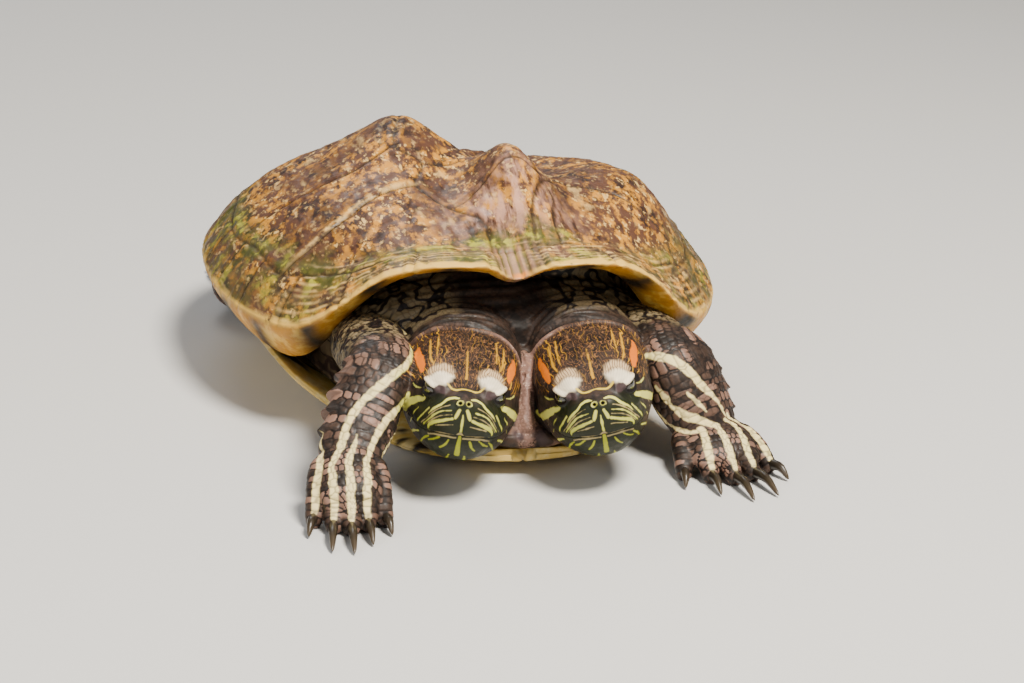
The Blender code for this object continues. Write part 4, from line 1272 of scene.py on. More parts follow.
@dataclass
class Head:
    """One head with its neck. Its own frame has the snout at the origin and looks along -Y."""

    side: Side
    eye_radius: float = 3.3
    eye_place: tuple[float, float, float] = (6.3, 8.8, 3.6)
    orbit_place: tuple[float, float, float] = (5.2, 9.0, 3.5)
    orbit_radii: tuple[float, float, float] = (4.0, 5.0, 4.2)
    nostril: tuple[float, float, float] = (0.95, 0.5, 3.05)
    nape_back: float = 0.0365
    neck_halves: tuple[float, float] = (0.0142, 0.0126)
    slit_half: tuple[float, float] = (0.80, 0.36)
    lid_thickness: float = 0.42

    def __post_init__(self) -> None:
        """Place the head and lay out its neck."""
        pose = HEAD_POSES[self.side]
        yaw, pitch, roll = (math.radians(angle) for angle in pose.turn)
        turn = Matrix.Rotation(yaw, 4, "Z") @ Matrix.Rotation(pitch, 4, "X") @ Matrix.Rotation(roll, 4, "Y")
        self.frame = Matrix.Translation(pose.snout) @ turn
        self.axes = np.array(turn.to_3x3())
        self.origin = np.array(pose.snout)
        nape = self.frame @ Vector((0, self.nape_back - 0.003, -0.0006))
        collar = self.frame @ Vector((0, self.nape_back + 0.005, -0.0004))
        self.neck = Tube([(*nape, 0.0132, 0.0108), (*collar, *self.neck_halves),
                          (*pose.root, *self.neck_halves)], (0, 0, 1), 36, 60)

    def local(self, points: Array) -> Array:
        """Places in millimetres of the head's own frame."""
        return (points - self.origin) @ self.axes / MM

    def world(self, places: Array) -> Array:
        """Places of the head's own frame, back in metres."""
        return self.origin + np.asarray(places, float) * MM @ self.axes.T

    def add_to(self, loft: Loft) -> None:
        """Add skull, jaws, orbits and neck to the flesh."""
        rows = spline(HEAD_STATIONS, 60)
        angles = np.linspace(0, 2 * math.pi, 64, endpoint=False)
        x = signed_power(np.cos(angles), 2 / 2.3)
        z = signed_power(np.sin(angles), 2 / 2.3)
        rings = [np.stack([x * row[1], np.full(64, row[0]), z * np.where(z > 0, row[2], row[3])], axis=1)
                 for row in rows]
        loft.add(self.world(np.array(rings) / MM))
        loft.add(self.neck.rings())
        for sign in (-1, 1):
            centre = np.array(self.orbit_place) * (sign, 1, 1) * MM
            loft.add_ellipsoid(centre, np.array(self.orbit_radii) * MM, self.frame)

    def reach(self, places: Array) -> Array:
        """How far places lie from the head's axis, 1 on the skull's surface."""
        rows = np.array(HEAD_STATIONS) / MM
        back = np.clip(places[:, 1], rows[2, 0], rows[-1, 0])
        half, top, bottom = (np.interp(back, rows[:, 0], rows[:, column]) for column in (1, 2, 3))
        depth = np.where(places[:, 2] > 0, top, bottom)
        reach = ((np.abs(places[:, 0]) / half) ** 2.3 + (np.abs(places[:, 2]) / depth) ** 2.3) ** (1 / 2.3)
        past = np.maximum(places[:, 1] - self.nape_back / MM, 0) / 12 + np.maximum(-places[:, 1], 0) / 4
        return np.hypot(reach, past)

    @staticmethod
    def on_capsule(places: Array) -> Array:
        """Places moved straight out or in to a capsule round the head's axis, 9 mm in radius."""
        back = np.clip(places[:, 1], 9.0, 40.0)
        centre = np.stack([np.zeros(len(places)), back, np.full(len(places), -1.0)], axis=1)
        return centre + 9.0 * unit(places - centre)

    def chart(self, places: Array) -> Array:
        """Distance round the crown, distance back and a share per head, for fine patterns."""
        round_angle = np.arctan2(places[:, 0], np.maximum(places[:, 2] + 4.0, 0.5))
        return np.stack([round_angle * 13.0, places[:, 1],
                         np.full(len(places), 40.0 * self.side.value)], axis=1)

    def eye_frame(self, sign: int) -> tuple[Array, Array]:
        """An eye's middle in millimetres, and its axes: back, up and out."""
        out = unit(np.array([0.93 * sign, -0.30, 0.10]))
        back = unit(np.array([0.0, 1.0, 0.0]) - out * out[1])
        up = unit(np.array([0.0, 0.0, 1.0]) - out * out[2] - back * back[2])
        return np.array(self.eye_place) * (sign, 1, 1), np.stack([back, up, out])

    def sculpt(self, points: Array, share: Array) -> tuple[Array, dict[str, Array]]:
        """Shape the face.

        Args:
            points: places on the skin, in metres.
            share: how far each belongs to this head.

        Returns:
            The moved places, and the masks that the shape gives.
        """
        places = self.local(points)
        mirrored = places * [1, 1, 1]
        mirrored[:, 0] = np.abs(mirrored[:, 0])
        capsule = self.on_capsule(mirrored)
        x, y, z = mirrored.T
        back = np.clip(y, 9.0, 40.0)
        out = unit(np.stack([places[:, 0], y - back, z + 1.0], axis=1))
        lift = np.zeros(len(points))

        def near(place: Sequence[float], radii: Sequence[float]) -> Array:
            """A soft blob round a place."""
            return np.exp(-(((mirrored - np.array(place)) / np.array(radii)) ** 2).sum(1))

        nostril = np.linalg.norm(mirrored - np.array(self.nostril), axis=1)
        lift += -0.85 * bell(nostril, 0.42) + 0.20 * bell(nostril - 0.85, 0.34)
        lift += 0.30 * near((0, 1.6, 4.2), (1.3, 1.6, 1.5)) - 0.40 * near((4.4, 2.2, 1.6), (2.0, 2.0, 1.7))
        lift += 0.18 * near((2.6, 4.2, 5.0), (1.8, 0.6, 0.7))
        lift += (0.60 * near((5.7, 4.7, 4.4), (1.35, 1.25, 1.25))
                 - 0.22 * near((3.9, 3.4, 3.4), (0.9, 0.9, 0.9)))
        lift += (1.05 * near((12.6, 18.0, -5.5), (5.0, 7.0, 5.0))
                 + 0.75 * near((9.5, 12.0, -9.5), (4.5, 6.0, 3.5)))
        lift -= 0.35 * near((9.8, 12.5, 1.0), (1.5, 2.4, 1.6))
        drum = np.linalg.norm((mirrored - [13.2, 21.5, -1.0]) / [6.0, 3.4, 3.2], axis=1)
        lift += -0.35 * ramp(1.0, 0.75, drum) + 0.15 * bell(drum - 1.05, 0.12)
        lift += -0.35 * near((4.0, 9.5, 7.2), (0.9, 4.0, 1.2)) - 0.3 * near((9.6, 15.0, 4.2), (1.2, 1.6, 1.4))

        mouth = self.on_capsule(spline(MOUTH_LINE, 40))
        gap, over = self.beside(capsule, mouth)
        fade = ramp(18.5, 15.0, y) * ramp(12.5, 10.5, x)
        lift += fade * (-0.55 * bell(gap, 0.26) + np.where(
            over > 0, 0.26 * ramp(0.1, 0.5, gap) * ramp(3.2, 1.2, gap),
            -0.34 * ramp(0.0, 0.3, gap) * ramp(2.8, 0.8, gap)))
        lift -= near((0, 0.9, -4.2), (0.35, 2.0, 0.5)) * 0.35

        fold_at = 33.2 + 0.10 * x + 0.5 * np.sin(x / 3.0 + self.side.value)
        fold = ramp(-9.0, -3.0, z)
        inner = places[:, 0] * -self.side.value
        lift += fold * (0.65 * bell(y - fold_at, 0.75) - 0.55 * bell(y - fold_at - 1.9, 0.9))
        lift += fold * (0.40 * bell(y - fold_at - 4.4, 0.9) - 0.35 * bell(y - fold_at - 6.2, 0.8))
        lift += 0.10 * soft_noise(places, 4.0, 41) + 0.04 * soft_noise(places, 1.1, 42) * ramp(4, 8, y)

        moved = places + out * (lift * share)[:, None]
        lid = np.zeros(len(points))
        slit = np.zeros(len(points))
        for sign in (-1, 1):
            moved, this_lid, this_slit = self.open_lids(moved, sign, share)
            lid, slit = np.maximum(lid, this_lid), np.maximum(slit, this_slit)
        crown = ramp(4.6, 6.0, y) * ramp(36.0, 32.0, y) * ramp(-1.0, 1.6, z)
        crown = crown * ramp(4.3, 5.4, z + 0.30 * np.maximum(y - 5, 0))
        masks = {
            "lid": lid * share, "slit": slit * share, "crown": crown * (1 - lid) * share,
            "purple": ramp(0.30, 0.55, near((5.7, 4.7, 4.2), (1.6, 1.5, 1.4))
                                 + 0.10 * soft_noise(places, 0.6, 44)) * share,
            "snout": ramp(13.0, 6.0, y) * ramp(4.4, 2.6, z) * share,
            "pale": (fold * bell(y - fold_at, 0.9) * (0.12 + 0.85 * ramp(2.0, 9.0, inner))
                     + 0.6 * near((0, 2.2, 4.9), (0.45, 0.6, 0.45))) * share,
            # Painted shade in the nostrils and along the mouth's crease
            "dark": (bell(nostril, 0.42) + 0.8 * fade * bell(gap, 0.22)) * share,
            "low": ramp(0.5, -5.5, z) * ramp(13.0, 8.0, y) * share,
            "lid_top": ramp(6.2, 11.0, y) * share,
            "face": ramp(35.0, 31.0, y) * share,
        }
        return self.world(moved), masks

    @staticmethod
    def beside(places: Array, line: Array) -> tuple[Array, Array]:
        """Distance to a line, and how far over it each place is."""
        best, over = np.full(len(places), 99.0), np.zeros(len(places))
        for _, offset in beside_stretches(places, line):
            gap = np.linalg.norm(offset, axis=1)
            over = np.where(gap < best, offset[:, 2], over)
            best = np.minimum(best, gap)
        return best, over

    def open_lids(self, places: Array, sign: int, share: Array) -> tuple[Array, Array, Array]:
        """Part the skin round an eyeball into two lids.

        Args:
            places: the skin in the head's frame.
            sign: +1 for the eye on the head's left.
            share: how far each place belongs to this head.

        Returns:
            The moved places, the mask of the upper lid and that of the slit's rim.
        """
        centre, axes = self.eye_frame(sign)
        offset = places - centre
        distance = np.linalg.norm(offset, axis=1)
        back, up, out = (unit(offset) @ axes.T).T
        half_length, half_height = self.slit_half
        reach = np.sqrt((back / half_length) ** 2 + ((up + 0.10) / half_height) ** 2)
        edge = ramp(0.90, 1.08, reach)
        target = (self.eye_radius - 0.75) * (1 - edge) + (self.eye_radius + self.lid_thickness) * edge
        target = target + 0.16 * bell(reach - 1.35, 0.22) - 0.20 * bell(reach - 1.95, 0.22)
        weight = ramp(2.6, 1.5, reach) * ramp(0.0, 0.25, out) * share
        weight = weight * ramp(6.0, 5.0, distance)
        moved = centre + unit(offset) * (distance + (target - distance) * weight)[:, None]
        x, y, z = (places * [sign, 1, 1]).T
        ragged = 0.08 * soft_noise(places, 0.9, 43)
        lid = ramp(1.24, 0.90, np.hypot((x - 6.4) / 3.4, (y - 9.7) / 4.9) + ragged)
        lid = lid * ramp(3.75, 4.2, z)
        lid = lid * ramp(0.9, 1.3, np.where(up < 0.2, 0.0, reach)) * (x > 0)
        # The slit's rim, where the lids meet the eyeball, gets painted shade
        rim = bell(reach - 1.05, 0.16) * ramp(0.0, 0.25, out) * (distance < 6.0)
        return moved, lid, rim

    def marks(self) -> Iterable[tuple[Tint, Mark]]:
        """The painted lines of the face, on both sides."""
        for tint, lines in FACE_LINES.items():
            for places, halves in lines:
                in_the_middle = all(place[0] == 0 for place in places)
                for sign in (1,) if in_the_middle else (-1, 1):
                    path = self.world(np.array(places) * (sign, 1, 1))
                    yield tint, Mark.through(path, np.array(halves) * MM, 0.5 * MM)
        turn = np.linspace(0, 2 * math.pi, 9)
        for sign in (-1, 1):
            x, y, z = self.nostril
            ring = np.stack([sign * (x + 0.80 * np.cos(turn)), np.full(9, y),
                             z - 0.15 + 0.85 * np.sin(turn)], axis=1)
            yield Tint.STRIPE, Mark.through(self.world(ring), np.full(9, 0.20 * MM), 0.4 * MM)


@dataclass(frozen=True)
class LimbPose:
    """A limb's joints, the point its foot reaches for, and its build."""

    root: tuple[float, float, float]
    middle: tuple[float, float, float]
    end: tuple[float, float, float]
    reach: tuple[float, float, float]
    facing: tuple[float, float, float]
    splay: float
    girth: float


@dataclass(frozen=True)
class LimbPlan:
    """What both limbs of a pair share: sizes, and splay, length and claw of each digit."""

    word: str
    halves: tuple[tuple[float, float], ...]
    palm_length: float
    palm_halves: tuple[float, float]
    spread: float
    digits: tuple[tuple[float, float, float], ...]
    digit_halves: tuple[float, float]


FRONT = LimbPlan(
    "front", ((0.0102, 0.0090), (0.0090, 0.0070), (0.0076, 0.0050)),
    0.0102, (0.0079, 0.0040), 0.0035,
    ((-30, 0.0045, 0.0055), (-12, 0.0068, 0.0080), (-2, 0.0080, 0.0110), (9, 0.0076, 0.0110),
     (30, 0.0048, 0.0060)), (0.0026, 0.0024))
HIND = LimbPlan(
    "hind", ((0.0110, 0.0088), (0.0085, 0.0075), (0.0066, 0.0056)),
    0.0150, (0.0100, 0.0038), 0.0046,
    ((-26, 0.0070, 0.0050), (-12, 0.0095, 0.0065), (1, 0.0105, 0.0070), (14, 0.0095, 0.0060),
     (30, 0.0060, 0.0)), (0.0027, 0.0023))
LIMB_POSES = {
    ("front", Side.RIGHT): LimbPose(
        (-0.0330, -0.0470, 0.0240), (-0.0350, -0.0790, 0.0275), (-0.0455, -0.0975, 0.0120),
        (-0.0485, -0.1260, 0.0), (-0.10, -0.75, 0.65), 0.35, 0.90),
    ("front", Side.LEFT): LimbPose(
        (0.0330, -0.0450, 0.0220), (0.0405, -0.0670, 0.0225), (0.0475, -0.0760, 0.0078),
        (0.0515, -0.1070, 0.0), (0.45, -0.60, 0.65), 0.60, 1.16),
    ("hind", Side.RIGHT): LimbPose(
        (-0.0330, 0.0480, 0.0140), (-0.0520, 0.0550, 0.0095), (-0.0440, 0.0730, 0.0070),
        (-0.0420, 0.1000, 0.0), (0.0, 0.0, 1.0), 0.7, 1.0),
    ("hind", Side.LEFT): LimbPose(
        (0.0330, 0.0480, 0.0140), (0.0560, 0.0490, 0.0095), (0.0630, 0.0670, 0.0070),
        (0.0740, 0.0930, 0.0), (0.0, 0.0, 1.0), 1.0, 1.0),
}
CLAW_HALVES = (0.00115, 0.00140)
CLAW_ROOT = 0.0018
CLAW_TIP_Z = 0.0007

# Stripes of each limb: station along it, degrees towards its outer side, half-width in
# millimetres, and the digit that the stripe runs out on (0 for none). Most numbers of the
# forelegs were made by a measuring program.
STRIPES = {
    ("front", Side.RIGHT): (
        (((1.7, -66, 0.5), (2.1, -53, 0.8), (2.4, -30, 1.0), (2.7, -9, 1.0), (3.1, 12, 0.9), (3.5, 25, 0.9),
          (4.0, 24, 0.9)), 4),
        (((2.4, -84, 0.5), (2.8, -66, 0.8), (3.2, -53, 0.9), (3.6, -48, 0.8), (4.0, -50, 0.6)), 2),
        (((3.7, -6, 0.3), (4.0, -10, 0.6)), 3),
        (((3.0, -96, 0.3), (3.4, -88, 0.6), (3.9, -84, 0.3)), 0),
        (((3.6, 82, 0.3), (4.0, 76, 0.5)), 5),
    ),
    ("front", Side.LEFT): (
        (((1.9, -86, 0.5), (2.05, -68, 0.95), (2.2, -50, 1.2), (2.5, -33, 1.2), (3.0, -22, 1.1),
          (3.3, -7, 0.75), (3.6, 5, 0.45), (3.9, 12, 0.25)), 0),
        (((3.85, 22, 0.3), (4.0, 24, 0.6)), 5),
        (((2.45, -90, 0.5), (2.7, -84, 0.9), (3.0, -80, 0.6)), 0),
        (((2.9, -52, 0.3), (3.3, -44, 0.5), (3.6, -36, 0.2)), 0),
        (((3.10, -80, 0.5), (3.45, -70, 1.1), (3.8, -50, 0.9), (4.0, -36, 0.8)), 3),
        (((2.9, -112, 0.3), (3.4, -104, 0.5), (4.0, -76, 0.5)), 2),
        (((3.95, 6, 0.4), (4.0, 6, 0.6)), 4),
    ),
    ("hind", Side.RIGHT): (
        (((1.0, 10, 0.7), (2.0, 20, 0.9), (3.0, 14, 0.8), (4.0, 6, 0.7)), 3),
        (((1.2, 70, 0.7), (2.2, 76, 0.9), (3.2, 60, 0.7), (4.0, 52, 0.6)), 4),
        (((1.2, -50, 0.6), (2.2, -40, 0.8), (3.4, -48, 0.6), (4.0, -44, 0.6)), 2),
    ),
    ("hind", Side.LEFT): (
        (((1.0, 6, 0.7), (2.0, 14, 0.9), (3.0, 10, 0.8), (4.0, 6, 0.7)), 3),
        (((1.2, 66, 0.7), (2.2, 72, 0.9), (3.2, 60, 0.7), (4.0, 52, 0.6)), 4),
        (((1.2, -54, 0.6), (2.2, -44, 0.8), (3.4, -48, 0.6), (4.0, -44, 0.6)), 2),
    ),
}


class Limb:
    """A limb of flesh: its upper and lower segments, palm, digits and claws."""

    def __init__(self, plan: LimbPlan, side: Side) -> None:
        """Lay out the limb's tubes and its claws' stations."""
        self.plan, self.side = plan, side
        pose = LIMB_POSES[plan.word, side]
        self.pose = pose
        root, middle, end = (np.array(joint) for joint in (pose.root, pose.middle, pose.end))
        halves = np.array(plan.halves) * pose.girth
        self.tube = Tube([(*root, *halves[0]),
                          (*(root + (middle - root) * 0.55), *(halves[0] * (0.93, 0.95))),
                          (*middle, *halves[1]),
                          (*((middle + end) / 2), *(halves[1] * (1.02, 0.93))),
                          (*end, *halves[2])], pose.facing, 48, 48)
        slope = unit(np.array(pose.reach) - end)
        left = unit(np.cross((0.0, 0.0, 1.0), slope))
        up = np.cross(slope, left)
        knuckles = end + slope * plan.palm_length
        width, thick = plan.palm_halves[0] * pose.girth, plan.palm_halves[1]
        self.palm = Tube([(*(end - slope * 0.004), width * 0.80, thick * 1.25),
                          (*((end + knuckles) / 2), width * 0.98, thick * 1.15),
                          (*knuckles, width, thick),
                          (*(knuckles + slope * 0.004), width * 0.86, thick * 0.55)],
                         up, 24, 40)
        self.digits: list[Tube] = []
        self.tips: list[tuple[Array, Array]] = []
        self.claws: dict[int, list[Array]] = {}
        middle_number = (len(plan.digits) - 1) / 2
        half_width, half_height = plan.digit_halves
        for number, (splay, length, claw_length) in enumerate(plan.digits):
            turn = Matrix.Rotation(math.radians(splay * pose.splay * side.value), 3, Vector(up))
            ahead = np.array(turn @ Vector(slope))
            offset = number - middle_number
            base = knuckles - slope * (0.005 + 0.001 * abs(offset))
            base = base + left * (offset * plan.spread * pose.girth * side.value)
            tip = base + ahead * (length + 0.005)
            tip[2] = half_height * 0.80
            knuckle = base + (tip - base) * 0.55 + up * 0.0010
            behind = base - slope * 0.0035 - left * (offset * 0.0012 * side.value)
            self.digits.append(Tube([(*behind, half_width * 0.55, half_height * 0.8),
                                     (*base, half_width, half_height * 1.1),
                                     (*knuckle, half_width, half_height),
                                     (*tip, half_width * 0.78, half_height * 0.90)], up, 24, 28))
            self.tips.append((tip, np.array([half_width * 0.78, half_width * 0.78, half_height * 0.90])))
            if claw_length:
                self.claws[number + 1] = self.claw_stations(tip, ahead, half_width, claw_length)

    @staticmethod
    def claw_stations(tip: Array, ahead: Array, half_width: float, length: float) -> list[Array]:
        """Stations along a claw, from inside the fingertip down to just over the floor."""
        flat = unit(ahead * (1, 1, 0))
        root = tip + flat * (half_width * 0.55 - CLAW_ROOT) + (0, 0, 0.0004)
        bend = root + flat * (CLAW_ROOT + length * 0.45) + (0, 0, 0.0005)
        end = root + flat * (CLAW_ROOT + length)
        end[2] = CLAW_TIP_Z
        width, height = CLAW_HALVES
        return [np.array([*root, width, height]), np.array([*bend, width * 0.85, height * 0.80]),
                np.array([*end, 0.00035, 0.00042])]

    def outer(self, angle: Array) -> Array:
        """Degrees towards the limb's outer side from an angle round its tube."""
        return np.degrees(angle) * -self.side.value

    def add_to(self, loft: Loft) -> None:
        """Add the limb's shapes to the flesh."""
        for tube in (self.tube, self.palm, *self.digits):
            loft.add(tube.rings())
        for tip, radii in self.tips:
            loft.add_ellipsoid(tip, radii)

    def relief(self, where: Located) -> tuple[Array, Array, Array]:
        """Scales of the limb: height in metres, crease and pinkness."""
        outer = self.outer(where.angle)
        around = np.radians(outer) * where.side
        seed = 50 + 3 * self.side.value
        beads = Scales(2.2 * MM, 2.2 * MM, 0.18, seed).read(where.arc, around)
        bands = Scales(1.9 * MM, 7.0 * MM, 0.10, seed + 1).read(where.arc, around)
        grains = Scales(1.15 * MM, 1.15 * MM, 0.2, seed + 2).read(where.arc, around)
        big = Scales(3.4 * MM, 3.6 * MM, 0.2, seed + 3).read(where.arc, around)
        front = self.plan.word == "front"
        band_share = ramp(-78, -58, outer) * ramp(16, -2, outer) * ramp(2.3, 2.8, where.station)
        band_share = band_share * (1.0 if front else 0.7)
        under = ramp(105, 125, np.abs(outer))
        big_share = bell(outer - 25, 42) * bell(where.station - 2.0, 0.45) * (1.0 if front else 0.0)
        shares = np.stack([np.ones(len(outer)), band_share * 4, under * 6, big_share * 3])
        shares = shares / shares.sum(0)
        patterns = (beads, bands, grains, big)
        height = sum(share * pattern[0] * size for share, pattern, size in
                     zip(shares, patterns, (0.26 * MM, 0.22 * MM, 0.10 * MM, 0.30 * MM)))
        crease = sum(share * pattern[1] for share, pattern in zip(shares, patterns))
        pink = 0.5 + 0.5 * sum(share * pattern[2] for share, pattern in zip(shares, patterns))
        if front:
            plate, fall = self.edge_plates(where, outer)
            height = height * (1 - fall) + plate
            crease = crease * (1 - fall)
        return height, crease, pink

    @staticmethod
    def edge_plates(where: Located, outer: Array) -> tuple[Array, Array]:
        """The row of broad plates along a forearm's outer edge, each with a free point."""
        phase = (where.arc - 30.0 * MM) / (4.9 * MM)
        step = phase - np.floor(phase)
        row = bell(outer - 84, 26) * ramp(1.9, 2.3, where.station) * ramp(4.1, 3.8, where.station)
        rise = (0.20 + 1.90 * step**2) * ramp(1.0, 0.92, step) + 0.20 * ramp(0.92, 1.0, step)
        return row * rise * MM, ramp(0.2, 0.6, row)

    def digit_relief(self, where: Located) -> tuple[Array, Array, Array]:
        """Broad scutes across a digit's upper side."""
        top = ramp(2.2, 1.3, np.abs(where.angle))
        around = where.around
        scutes = Scales(1.55 * MM, 6.0 * MM, 0.05, 71).read(where.arc, around)
        grains = Scales(1.0 * MM, 1.0 * MM, 0.2, 72).read(where.arc, around)
        height = top * scutes[0] * 0.17 * MM + (1 - top) * grains[0] * 0.08 * MM
        return height, top * scutes[1] + (1 - top) * grains[1], 0.5 + 0.4 * scutes[2]

    def palm_relief(self, where: Located) -> tuple[Array, Array, Array]:
        """Rounded scales on the back of the hand."""
        around = where.around
        beads = Scales(1.75 * MM, 1.75 * MM, 0.22, 81).read(where.arc, around)
        return beads[0] * 0.20 * MM, beads[1], 0.55 + 0.45 * beads[2]

    def marks(self) -> Iterable[tuple[Tint, Mark]]:
        """The limb's stripes, some of which run out along a digit."""
        for places, digit in STRIPES[self.plan.word, self.side]:
            sign = -self.side.value
            rows = [self.tube.surface(station, sign * outer) for station, outer, _ in places]
            halves = [half * MM for _, _, half in places]
            if digit:
                tube = self.digits[digit - 1]
                wide = self.plan.digit_halves[0]
                rows += [tube.surface(station, 0.0) for station in (1.1, 1.7, 2.3, 2.85)]
                halves += [wide * 0.30, wide * 0.36, wide * 0.36, wide * 0.26]
            yield Tint.STRIPE, Mark.through(rows, halves)


TAIL_STATIONS = ((0.0000, 0.0560, 0.0160, 0.0080), (0.0020, 0.0740, 0.0125, 0.0058),
                 (0.0080, 0.0930, 0.0060, 0.0042), (0.0170, 0.1070, 0.0030, 0.0028),
                 (0.0250, 0.1160, 0.0014, 0.0013))


@dataclass
class Territory:
    """A stretch of skin with scales of its own, and the box it may lie in."""

    low: Array
    high: Array
    read: Callable[[Array], tuple[Array, Array, Array, Array]]

    @classmethod
    def of_tube(cls, tube: Tube, pattern: Callable[[Located], tuple[Array, Array, Array]],
                bias: float = 0.0) -> "Territory":
        """The skin round a tube.

        Args:
            tube: the tube.
            pattern: gives height, crease and pinkness from places on the tube.
            bias: what to add to the reach, so that other skin wins.

        Returns:
            The territory.
        """
        margin = tube.halves.max() * 1.35 + 3 * MM

        def read(points: Array) -> tuple[Array, Array, Array, Array]:
            """Reach, height, crease and pinkness at points."""
            where = tube.locate(points)
            return (where.reach + bias, *pattern(where))

        return cls(tube.centres.min(0) - margin, tube.centres.max(0) + margin, read)


@dataclass
class Skin:
    """The whole flesh as one skin, with folds, scales, lids and painted stripes."""

    form: ShellForm
    plastron: Plastron
    voxel: float = 0.5 * MM
    fine_front: float = -0.052
    soft_edge: float = 0.12 * MM
    trunk_share: float = 0.77
    trunk_clearance: float = 1.8 * MM
    trunk_top_clearance: float = 7.0 * MM
    trunk_sides: int = 40
    painted_front: float = -0.045
    blend: float = 0.07
    collar_centre: tuple[float, float, float] = (-0.0010, -0.0430, 0.0260)
    collar_radii: tuple[float, float, float] = (0.0400, 0.0190, 0.0160)
    # The fold of skin between the two heads, as places and radii, and its two swellings. The
    # fold's places follow those of a measuring program to within about a millimetre.
    FOLD = ((3.1, -62.0, 22.8, 0.8), (3.1, -65.2, 24.4, 1.1), (2.8, -68.0, 24.1, 1.3),
            (2.2, -70.8, 22.4, 1.35), (1.5, -73.8, 19.6, 1.4), (1.0, -76.3, 16.4, 1.5),
            (0.5, -78.6, 13.4, 1.75), (0.3, -80.2, 10.6, 2.1))
    WEB = ((3.0, -61.5, 25.0, 5.0), (3.4, -69.3, 20.5, 6.4), (2.8, -74.6, 16.5, 7.0),
           (2.2, -78.6, 12.8, 7.2), (1.8, -80.6, 10.2, 6.4))
    # The loose skin that runs under both throats, as places and radii
    BIB = ((-9.0, -79.5, 9.6, 1.6), (-4.0, -81.2, 9.2, 1.8), (1.5, -81.6, 9.0, 1.9), (7.0, -81.2, 9.2, 1.8),
           (11.5, -79.5, 9.6, 1.6))
    SWELLINGS = ((-1.3, -81.4, 9.8, 1.8), (3.7, -81.3, 10.0, 2.3))
    BANDS: ClassVar[tuple[str, ...]] = ("groove", "pink", "stripe", "gold", "orange", "green", "tan", "lid",
                                        "slit", "crown", "purple", "snout", "pale", "dark", "low",
                                        "lid_top", "loose", "face", "brow")

    def __post_init__(self) -> None:
        """Lay out heads, limbs and tail."""
        self.heads = [Head(side) for side in Side]
        self.limbs = [Limb(plan, side) for plan in (FRONT, HIND) for side in Side]
        self.tail = Tube([(*row, row[3]) for row in TAIL_STATIONS], (0, 0, 1), 40, 32)
        fold = [(x * MM, y * MM, z * MM, radius * MM, radius * 1.6 * MM) for x, y, z, radius in self.FOLD]
        self.fold = Tube(fold, (0, -1, 0), 40, 20, 2.0)
        web = [(x * MM, y * MM, z * MM, half * MM, 1.6 * MM) for x, y, z, half in self.WEB]
        self.web = Tube(web, (0, -1, 0), 40, 24, 2.0)
        bib = [(x * MM, y * MM, z * MM, radius * MM, radius * MM) for x, y, z, radius in self.BIB]
        self.bib = Tube(bib, (0, -1, 0), 32, 20, 2.0)

    def build(self) -> Piece:
        """Join the forms, refine them and dress the skin."""
        loft = Loft()
        loft.add(self.trunk_rings())
        loft.add_ellipsoid(self.collar_centre, self.collar_radii)
        loft.add(self.tail.rings())
        loft.add(self.fold.rings())
        loft.add(self.web.rings())
        loft.add(self.bib.rings())
        for place in self.SWELLINGS:
            loft.add_ellipsoid(np.array(place[:3]) * MM, np.full(3, place[3]) * MM)
        for part in (*self.heads, *self.limbs):
            part.add_to(loft)
        item = loft.make("skin")
        face_outwards(item)
        remesh = item.modifiers.new("join", "REMESH")
        remesh.mode = "VOXEL"
        remesh.voxel_size = self.voxel
        smooth = item.modifiers.new("round", "SMOOTH")
        smooth.factor = 0.5
        smooth.iterations = 5
        apply_modifiers(item)
        self.thin_out(item)
        LOG.info("skin joined: %d vertices", len(item.data.vertices))
        self.refine(item, self.front_skin(read_points(item)))
        self.refine(item, self.face_skin(read_points(item)))
        LOG.info("skin refined: %d vertices", len(item.data.vertices))
        self.dress(item)
        item.data.shade_smooth()
        return item

    def trunk_rings(self) -> Array:
        """The body inside the shell, a little smaller than the hollow on every side."""
        sides = self.trunk_sides
        angles = (np.arange(sides) + 0.5) / sides * 2 * math.pi
        drop = self.form.thickness + self.trunk_top_clearance
        rings = []
        for share in (0.30, 0.60, 0.84, 0.96):
            rings.append(self.form.dome(np.full(sides, self.trunk_share * share), angles) - [0, 0, drop])
        for share in (1.0, 0.96, 0.84, 0.60, 0.30):
            ring = self.form.dome(np.full(sides, self.trunk_share * share), angles)
            floor = (self.plastron.height(ring[:, 0], ring[:, 1]) + self.plastron.thickness
                     + self.trunk_clearance)
            ring[:, 2] = (ring[:, 2] - drop + floor) / 2 if share == 1.0 else floor
            rings.append(ring)
        return np.array(rings)

    @staticmethod
    def thin_out(item: Piece) -> None:
        """Use fewer faces for the part of the body that the shell hides."""
        points = read_points(item)
        x, y, z = points.T
        hidden = (np.abs(x) < 0.046) & (np.abs(y - 0.008) < 0.044) & (z > 0.006)
        group = item.vertex_groups.new(name="hidden")
        group.add(np.flatnonzero(hidden).tolist(), 1.0, "REPLACE")
        fewer = item.modifiers.new("fewer", "DECIMATE")
        fewer.ratio = 1.0 - 0.85 * hidden.mean()
        fewer.vertex_group = "hidden"
        fewer.vertex_group_factor = 10.0
        apply_modifiers(item)
        item.vertex_groups.clear()

    def front_skin(self, points: Array) -> Array:
        """Where heads, necks and forelimbs show."""
        trunk = np.abs(points[:, 0]) < 0.040
        low = (points[:, 2] < self.collar_centre[2]) & (points[:, 1] > -0.060) & trunk
        return (points[:, 1] < self.fine_front) & ~low

    def face_skin(self, points: Array) -> Array:
        """Where the skin needs its finest faces."""
        out = np.zeros(len(points), bool)
        for head in self.heads:
            x, y, z = head.local(points).T
            face = (y < 13.5) & (y > -3) & (np.abs(x) < 13) & (np.abs(z) < 12)
            mouth = (y < 19) & (y > 0) & (np.abs(z + 4.5) < 2.2) & (np.abs(x) < 15)
            out |= face | mouth
        return out

